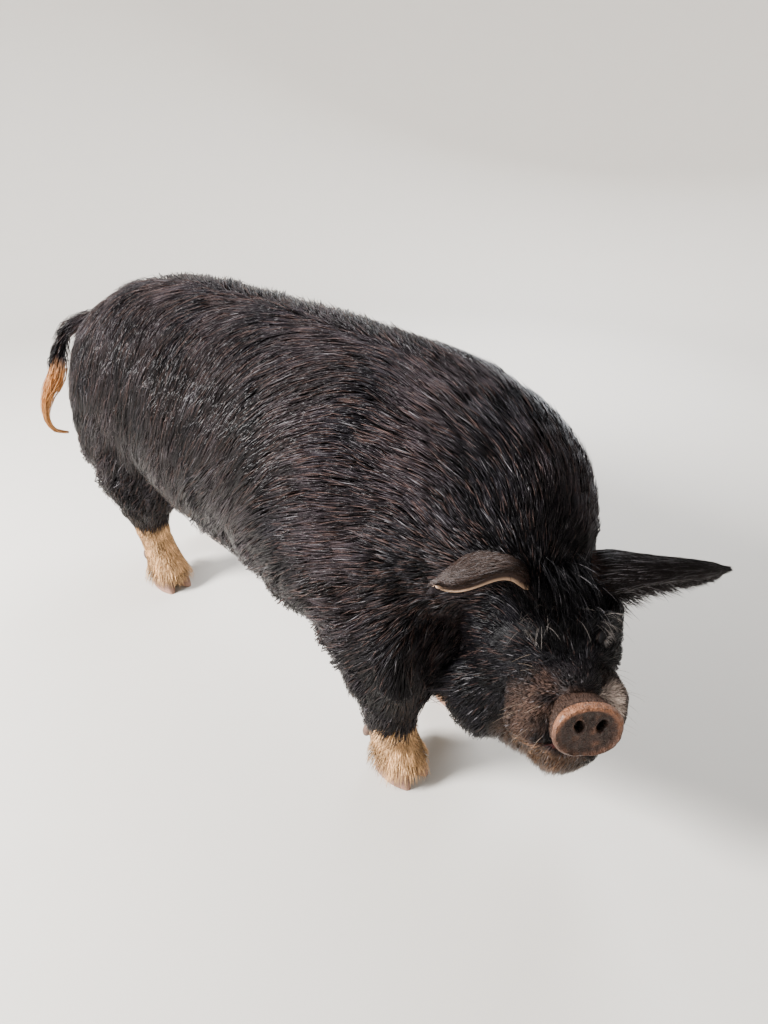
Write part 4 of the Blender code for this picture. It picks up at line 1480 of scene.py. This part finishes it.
def long_hairs():
    """Name, middle on the head, spread, direction, number, length, half width, droop, colour."""
    for side, x in SIDES.items():
        at, spread, way = (0.060 * x, -0.190, -0.040), (0.012, 0.035, 0.028), (x, 0.15, -0.25)
        yield "whiskers_" + side, at, spread, way, 12, 0.040, 0.00022, 0.3, "pale"
    for side, x in SIDES.items():
        at, spread, way = (0.045 * x, -0.098, 0.045), (0.016, 0.014, 0.012), (0.5 * x, -0.75, 0.35)
        yield "brow_hair_" + side, at, spread, way, 18, 0.036, 0.00026, 0.5, "lash"
    at, spread, way = (0.000, -0.050, 0.085), (0.040, 0.022, 0.012), (0, -0.9, 0.25)
    yield "forelock", at, spread, way, 420, 0.052, 0.00055, 0.55, "face"
    spread, way = (0.036, 0.022, 0.012), (0, -0.9, 0.3)
    yield "forelock_grey", at, spread, way, 26, 0.050, 0.00040, 0.5, "grey"


class PIG_OT_whiskers(bpy.types.Operator):
    """Long pale whiskers, brow hair, forelock and lashes"""

    bl_idname = "pig.whiskers"
    bl_label = "Whiskers and lashes"

    def execute(self, context):
        """Each hair leaves the skin straight and droops with the square of its length."""
        rng = random_of("whiskers")
        skin = bpy.data.objects["skin"]
        for side in SIDES:
            self.lashes(side, rng)
        grow = np.linspace(0, 1, 6)
        taper = np.array((1.0, 0.95, 0.85, 0.7, 0.5, 0.0))
        for name, at, spread, way, count, length, width, droop, colour in long_hairs():
            h = np.array(at) + rng.normal(size=(count, 3)) * np.array(spread)
            roots, ups = draped(skin, moved(HEAD, h), np.full(count, -0.001))
            heading = in_world(unit(np.array(way) + 0.28 * rng.normal(size=(count, 3))))
            heading = unit(heading + 0.55 * ups)[:, None]
            long = (length * (0.55 + 0.6 * rng.random(count)))[:, None] * grow
            paths = roots[:, None] + heading * long[..., None]
            paths[..., 2] -= droop * long * grow * (0.6 + 0.8 * rng.random(count))[:, None]
            tints = shade(colour) * (0.6 + 0.6 * rng.random((count, 1, 1))) * np.ones((1, 6, 1))
            patch = chart(roots, HEAD @ Vector((0, -0.1, 0)), in_world((0, -1, 0)), (0, 0, 1))
            widths = width * taper * np.ones((count, 1))
            piece = tufts(name, paths, ups, widths, tints, patch, flat=1.0)
            keep(piece, hair_material(name + " hair", 0.5), "face_hair")
        return {"FINISHED"}

    def lashes(self, side, rng):
        """Lashes of the upper lid: from its edge out along the sight, then curling down."""
        place = eye_frame(side)
        count = LASH_COUNT
        t = np.radians(rng.uniform(*LASH_SPAN, count))
        opening = 1 / np.hypot(np.cos(t) / LID_WIDE, np.sin(t) / LASH_EDGE)
        root = round_sight(1, opening + 0.05 * rng.random(count), t) * (EYE_RADIUS + 0.0008)
        way = unit(root) + places(0.7 * np.cos(t), -0.2, 0.25) + 0.15 * rng.normal(size=(count, 3))
        grow = np.linspace(0, 1, 5)
        long = (LASH_LENGTH * (0.6 + 0.6 * rng.random(count)))[:, None] * grow
        paths = root[:, None] + unit(way)[:, None] * long[..., None]
        paths[..., 2] -= 0.35 * long * grow
        taper = np.array((1.0, 0.95, 0.8, 0.55, 0.0))
        widths = LASH_HALF_WIDTH * taper * np.ones((count, 1))
        tint = mix(shade("coat"), shade("lash"), 0.7 * rng.random(count))
        tints = tint[:, None] * np.ones((1, 5, 1))
        patch = np.stack([0.05 + 0.9 * t / math.pi, 0.1 + 0.8 * rng.random(count)], axis=1)
        ups = turned(place, (0, 0, 1))
        piece = tufts("lashes_" + side, moved(place, paths), ups, widths, tints, patch, flat=1.0)
        keep(piece, hair_material("lashes " + side, 0.45), "face_hair")


# ---- stage
LAMPS = {  # place, aim, size, watts, colour
    "key": ((-2.3, 1.15, 1.9), (0, 0, 0.35), 0.9, 600, (1.0, 0.98, 0.96)),
    "front": ((-0.5, -2.2, 1.9), (0, -0.3, 0.3), 1.5, 9, (1.0, 0.98, 0.96)),
    "back": ((2.1, 0.9, 1.9), (0, 0.1, 0.4), 1.4, 150, (0.93, 0.96, 1.0)),
}
SKY = (0.80, 0.89, 1.0)
CAMERA_AT = Vector((FRONT_FEET[0] - 0.6697, FRONT_FEET[1] - 0.5828, 0.95))
CAMERA_HEADING, CAMERA_TILT = math.radians(-43.7), math.radians(30.5)
CAMERA_LENS, CAMERA_SENSOR = 25.98, 36.0
SWEEP_OUT, SWEEP_UP = 1.6, 4.2  # how far the backdrop goes out beyond the flat floor, and up


def facing(obj, at, way):
    obj.location = at
    obj.rotation_mode = "QUATERNION"
    obj.rotation_quaternion = way.to_track_quat("-Z", "Y")


class PIG_OT_stage(bpy.types.Operator):
    """Pale floor swept up into a backdrop, soft studio lamps and the camera"""

    bl_idname = "pig.stage"
    bl_label = "Stage"

    def execute(self, context):
        stage = setting("stage")
        self.floor(stage)
        world = bpy.data.worlds.new("studio")
        world.use_nodes = True
        bpy.context.scene.world = world
        sky = world.node_tree.nodes["Background"].inputs
        sky["Color"].default_value = (*SKY, 1.0)
        sky["Strength"].default_value = stage.fill
        for name, (at, aim, size, watts, colour) in LAMPS.items():
            lamp = bpy.data.lights.new(name, "AREA")
            lamp.shape = "DISK"
            lamp.size = size
            lamp.energy = watts * stage.light
            lamp.color = colour
            facing(new_object(name, lamp), at, Vector(aim) - Vector(at))
        camera = new_object("camera", bpy.data.cameras.new("camera"))
        camera.data.sensor_fit = "AUTO"
        camera.data.sensor_width = CAMERA_SENSOR
        camera.data.lens = CAMERA_LENS
        level = Vector((-math.sin(CAMERA_HEADING), math.cos(CAMERA_HEADING), 0))
        look = level * math.cos(CAMERA_TILT) - Vector((0, 0, math.sin(CAMERA_TILT)))
        facing(camera, CAMERA_AT, look)
        bpy.context.scene.camera = camera
        return {"FINISHED"}

    def floor(self, stage):
        """Bowl: flat out to the floor's radius, then a quarter ellipse up, turned round."""
        angle = np.linspace(0, TURN, 97)[:-1]
        flat = np.linspace(0.02, 1, 12) * stage.floor
        bend = np.linspace(0, math.pi / 2, 20)[1:]
        radius = np.concatenate([flat, stage.floor + SWEEP_OUT * np.sin(bend)])[:, None]
        height = np.concatenate([0 * flat, SWEEP_UP * (1 - np.cos(bend))])[:, None]
        bowl = places(radius * np.cos(angle), radius * np.sin(angle), height)
        floor = sheet("floor", bowl, caps=False)

        def close(bm):
            rim = [e for e in bm.edges if e.is_boundary and e.verts[0].co.length < 0.1]
            bmesh.ops.contextual_create(bm, geom=rim)

        reshape(floor.data, close)
        kit = Kit("studio floor", Roughness=0.75)
        pale = np.array(stage.floor_colour)
        colour = kit.blend(kit.noise(14.0, 5.0) * 0.25, pale, pale * 0.86)
        floor.data.materials.append(kit.finish(Base_Color=colour))


# ---- settings
def tone(name, words, rgb):
    """A colour setting; given as display values from 0 to 255, kept as light."""
    light = [((v / 255 + 0.055) / 1.055) ** 2.4 if v > 10 else v / 255 / 12.92 for v in rgb]
    return FloatVectorProperty(
        name=name, description=words, subtype="COLOR", size=3, min=0, max=1, default=light
    )


def number(name, words, value, low, high, **more):
    """A number setting with its limits."""
    return FloatProperty(name=name, description=words, default=value, min=low, max=high, **more)


class PigColours(bpy.types.PropertyGroup):
    """Colours of coat, skin, snout, eyes and hoofs"""

    coat: tone("Coat", "Darkest hair of the body", (20, 18, 21))
    brown: tone("Brown", "Warmer hair of the body", (41, 35, 37))
    # Darker than the coat: partly the face's black hair, partly painted shade of the head
    face: tone("Face", "Hair of brow and cheeks", (10, 9, 12))
    muzzle: tone("Muzzle", "Dusty hair of the muzzle", (60, 45, 38))
    blaze: tone("Blaze", "Pale patch on the left lip", (176, 160, 150))
    chin: tone("Chin", "Tan hair of the chin", (90, 66, 47))
    tan: tone("Feet", "Cream hair of the feet", (198, 158, 114))
    rust: tone("Rust", "Sun-bleached tufts among the black", (64, 49, 45))
    # Grey hair; in the coat and on the ears it also stands for painted glints
    grey: tone("Grey", "Grey tufts among the black", (104, 101, 104))
    rind: tone("Rind", "Flat of the snout", (43, 28, 22))
    rim: tone("Snout rim", "Rolled edge of the snout", (108, 70, 48))
    mouth: tone("Mouth", "Skin inside the lips", (92, 34, 28))
    lid: tone("Lid edge", "Edge of the eyelids", (40, 29, 25))
    iris: tone("Iris", "Iris of the eye", (46, 28, 17))
    eye_white: tone("Eye white", "Eyeball round the iris", (44, 34, 30))
    ear: tone("Ear", "Back of the ears", (46, 34, 30))
    ear_rim: tone("Ear rim", "Edge and tip of the ears", (176, 146, 122))
    ear_hair: tone("Ear hair", "Hair on the back of the ears", (50, 36, 29))
    # Dark skin of the ear's inside, darker than the back partly as painted shade
    ear_hollow: tone("Ear hollow", "Inside of the ears", (26, 18, 16))
    horn: tone("Horn", "Hoofs above the ground", (112, 84, 70))
    horn_worn: tone("Worn horn", "Hoofs at the ground", (146, 112, 96))
    brush: tone("Brush", "Hair of the tail's end", (176, 116, 62))
    pale: tone("Whiskers", "Long hair of the lips", (122, 108, 96))
    lash: tone("Brow hair", "Long hair over the eyes", (118, 112, 108))


class PigSkin(bpy.types.PropertyGroup):
    """Mesh of the skin"""

    cell: number("Cell", "Size of the skin's faces", 0.0068, 0.004, 0.02, unit="LENGTH")


class PigCoat(bpy.types.PropertyGroup):
    """Sizes of the coat; density, length and width are against the usual"""

    depth: number("Depth", "Reach of the coat off the flank", 0.013, 0, 0.03, unit="LENGTH")
    density: number("Density", "Number of tufts", 1.0, 0.05, 1.3, subtype="FACTOR")
    length: number("Length", "Length of the hair", 1.0, 0.3, 1.5, subtype="FACTOR")
    width: number("Width", "Width of the tufts", 1.0, 0.3, 2.0, subtype="FACTOR")


class PigHead(bpy.types.PropertyGroup):
    """Sizes of the face's small parts"""

    nostril: number("Nostril", "Half width of a nostril", 0.0075, 0.003, 0.012, unit="LENGTH")
    opening: number("Lids", "How far the lids are open", 0.85, 0.1, 1.3, subtype="FACTOR")


class PigStage(bpy.types.PropertyGroup):
    """Floor and lamps"""

    floor: number("Floor", "Radius of the flat floor", 2.4, 1, 6, unit="LENGTH")
    floor_colour: tone("Floor colour", "Colour of floor and backdrop", (192, 188, 182))
    fill: number("Fill", "Strength of the light from all round", 0.28, 0, 3)
    light: number("Lamps", "Strength of the lamps", 1.0, 0, 5, subtype="FACTOR")


GROUPS = {
    "pig_colours": PigColours,
    "pig_skin": PigSkin,
    "pig_coat": PigCoat,
    "pig_head": PigHead,
    "pig_stage": PigStage,
}
OPERATORS = (
    PIG_OT_skin,
    PIG_OT_snout,
    PIG_OT_eyes,
    PIG_OT_ears,
    PIG_OT_hoofs,
    PIG_OT_coat,
    PIG_OT_tail,
    PIG_OT_whiskers,
    PIG_OT_stage,
)


class PIG_PT_panel(bpy.types.Panel):
    """Settings and steps of the pig"""

    bl_idname = "PIG_PT_panel"
    bl_label = "Hairy Pig"
    bl_space_type = "VIEW_3D"
    bl_region_type = "UI"
    bl_category = "Pig"

    def draw(self, context):
        for key, group in GROUPS.items():
            part = self.layout.box()
            part.label(text=group.__doc__)
            for name in group.__annotations__:
                part.prop(getattr(context.scene, key), name)
        for operator in OPERATORS:
            self.layout.operator(operator.bl_idname)


def register():
    for cls in (*GROUPS.values(), *OPERATORS, PIG_PT_panel):
        bpy.utils.register_class(cls)
    for key, group in GROUPS.items():
        setattr(bpy.types.Scene, key, PointerProperty(type=group))


def unregister():
    for key in GROUPS:
        delattr(bpy.types.Scene, key)
    for cls in reversed((*GROUPS.values(), *OPERATORS, PIG_PT_panel)):
        bpy.utils.unregister_class(cls)


def main():
    register()
    for operator in OPERATORS:
        group, name = operator.bl_idname.split(".")
        getattr(getattr(bpy.ops, group), name)()


if __name__ == "__main__":
    main()
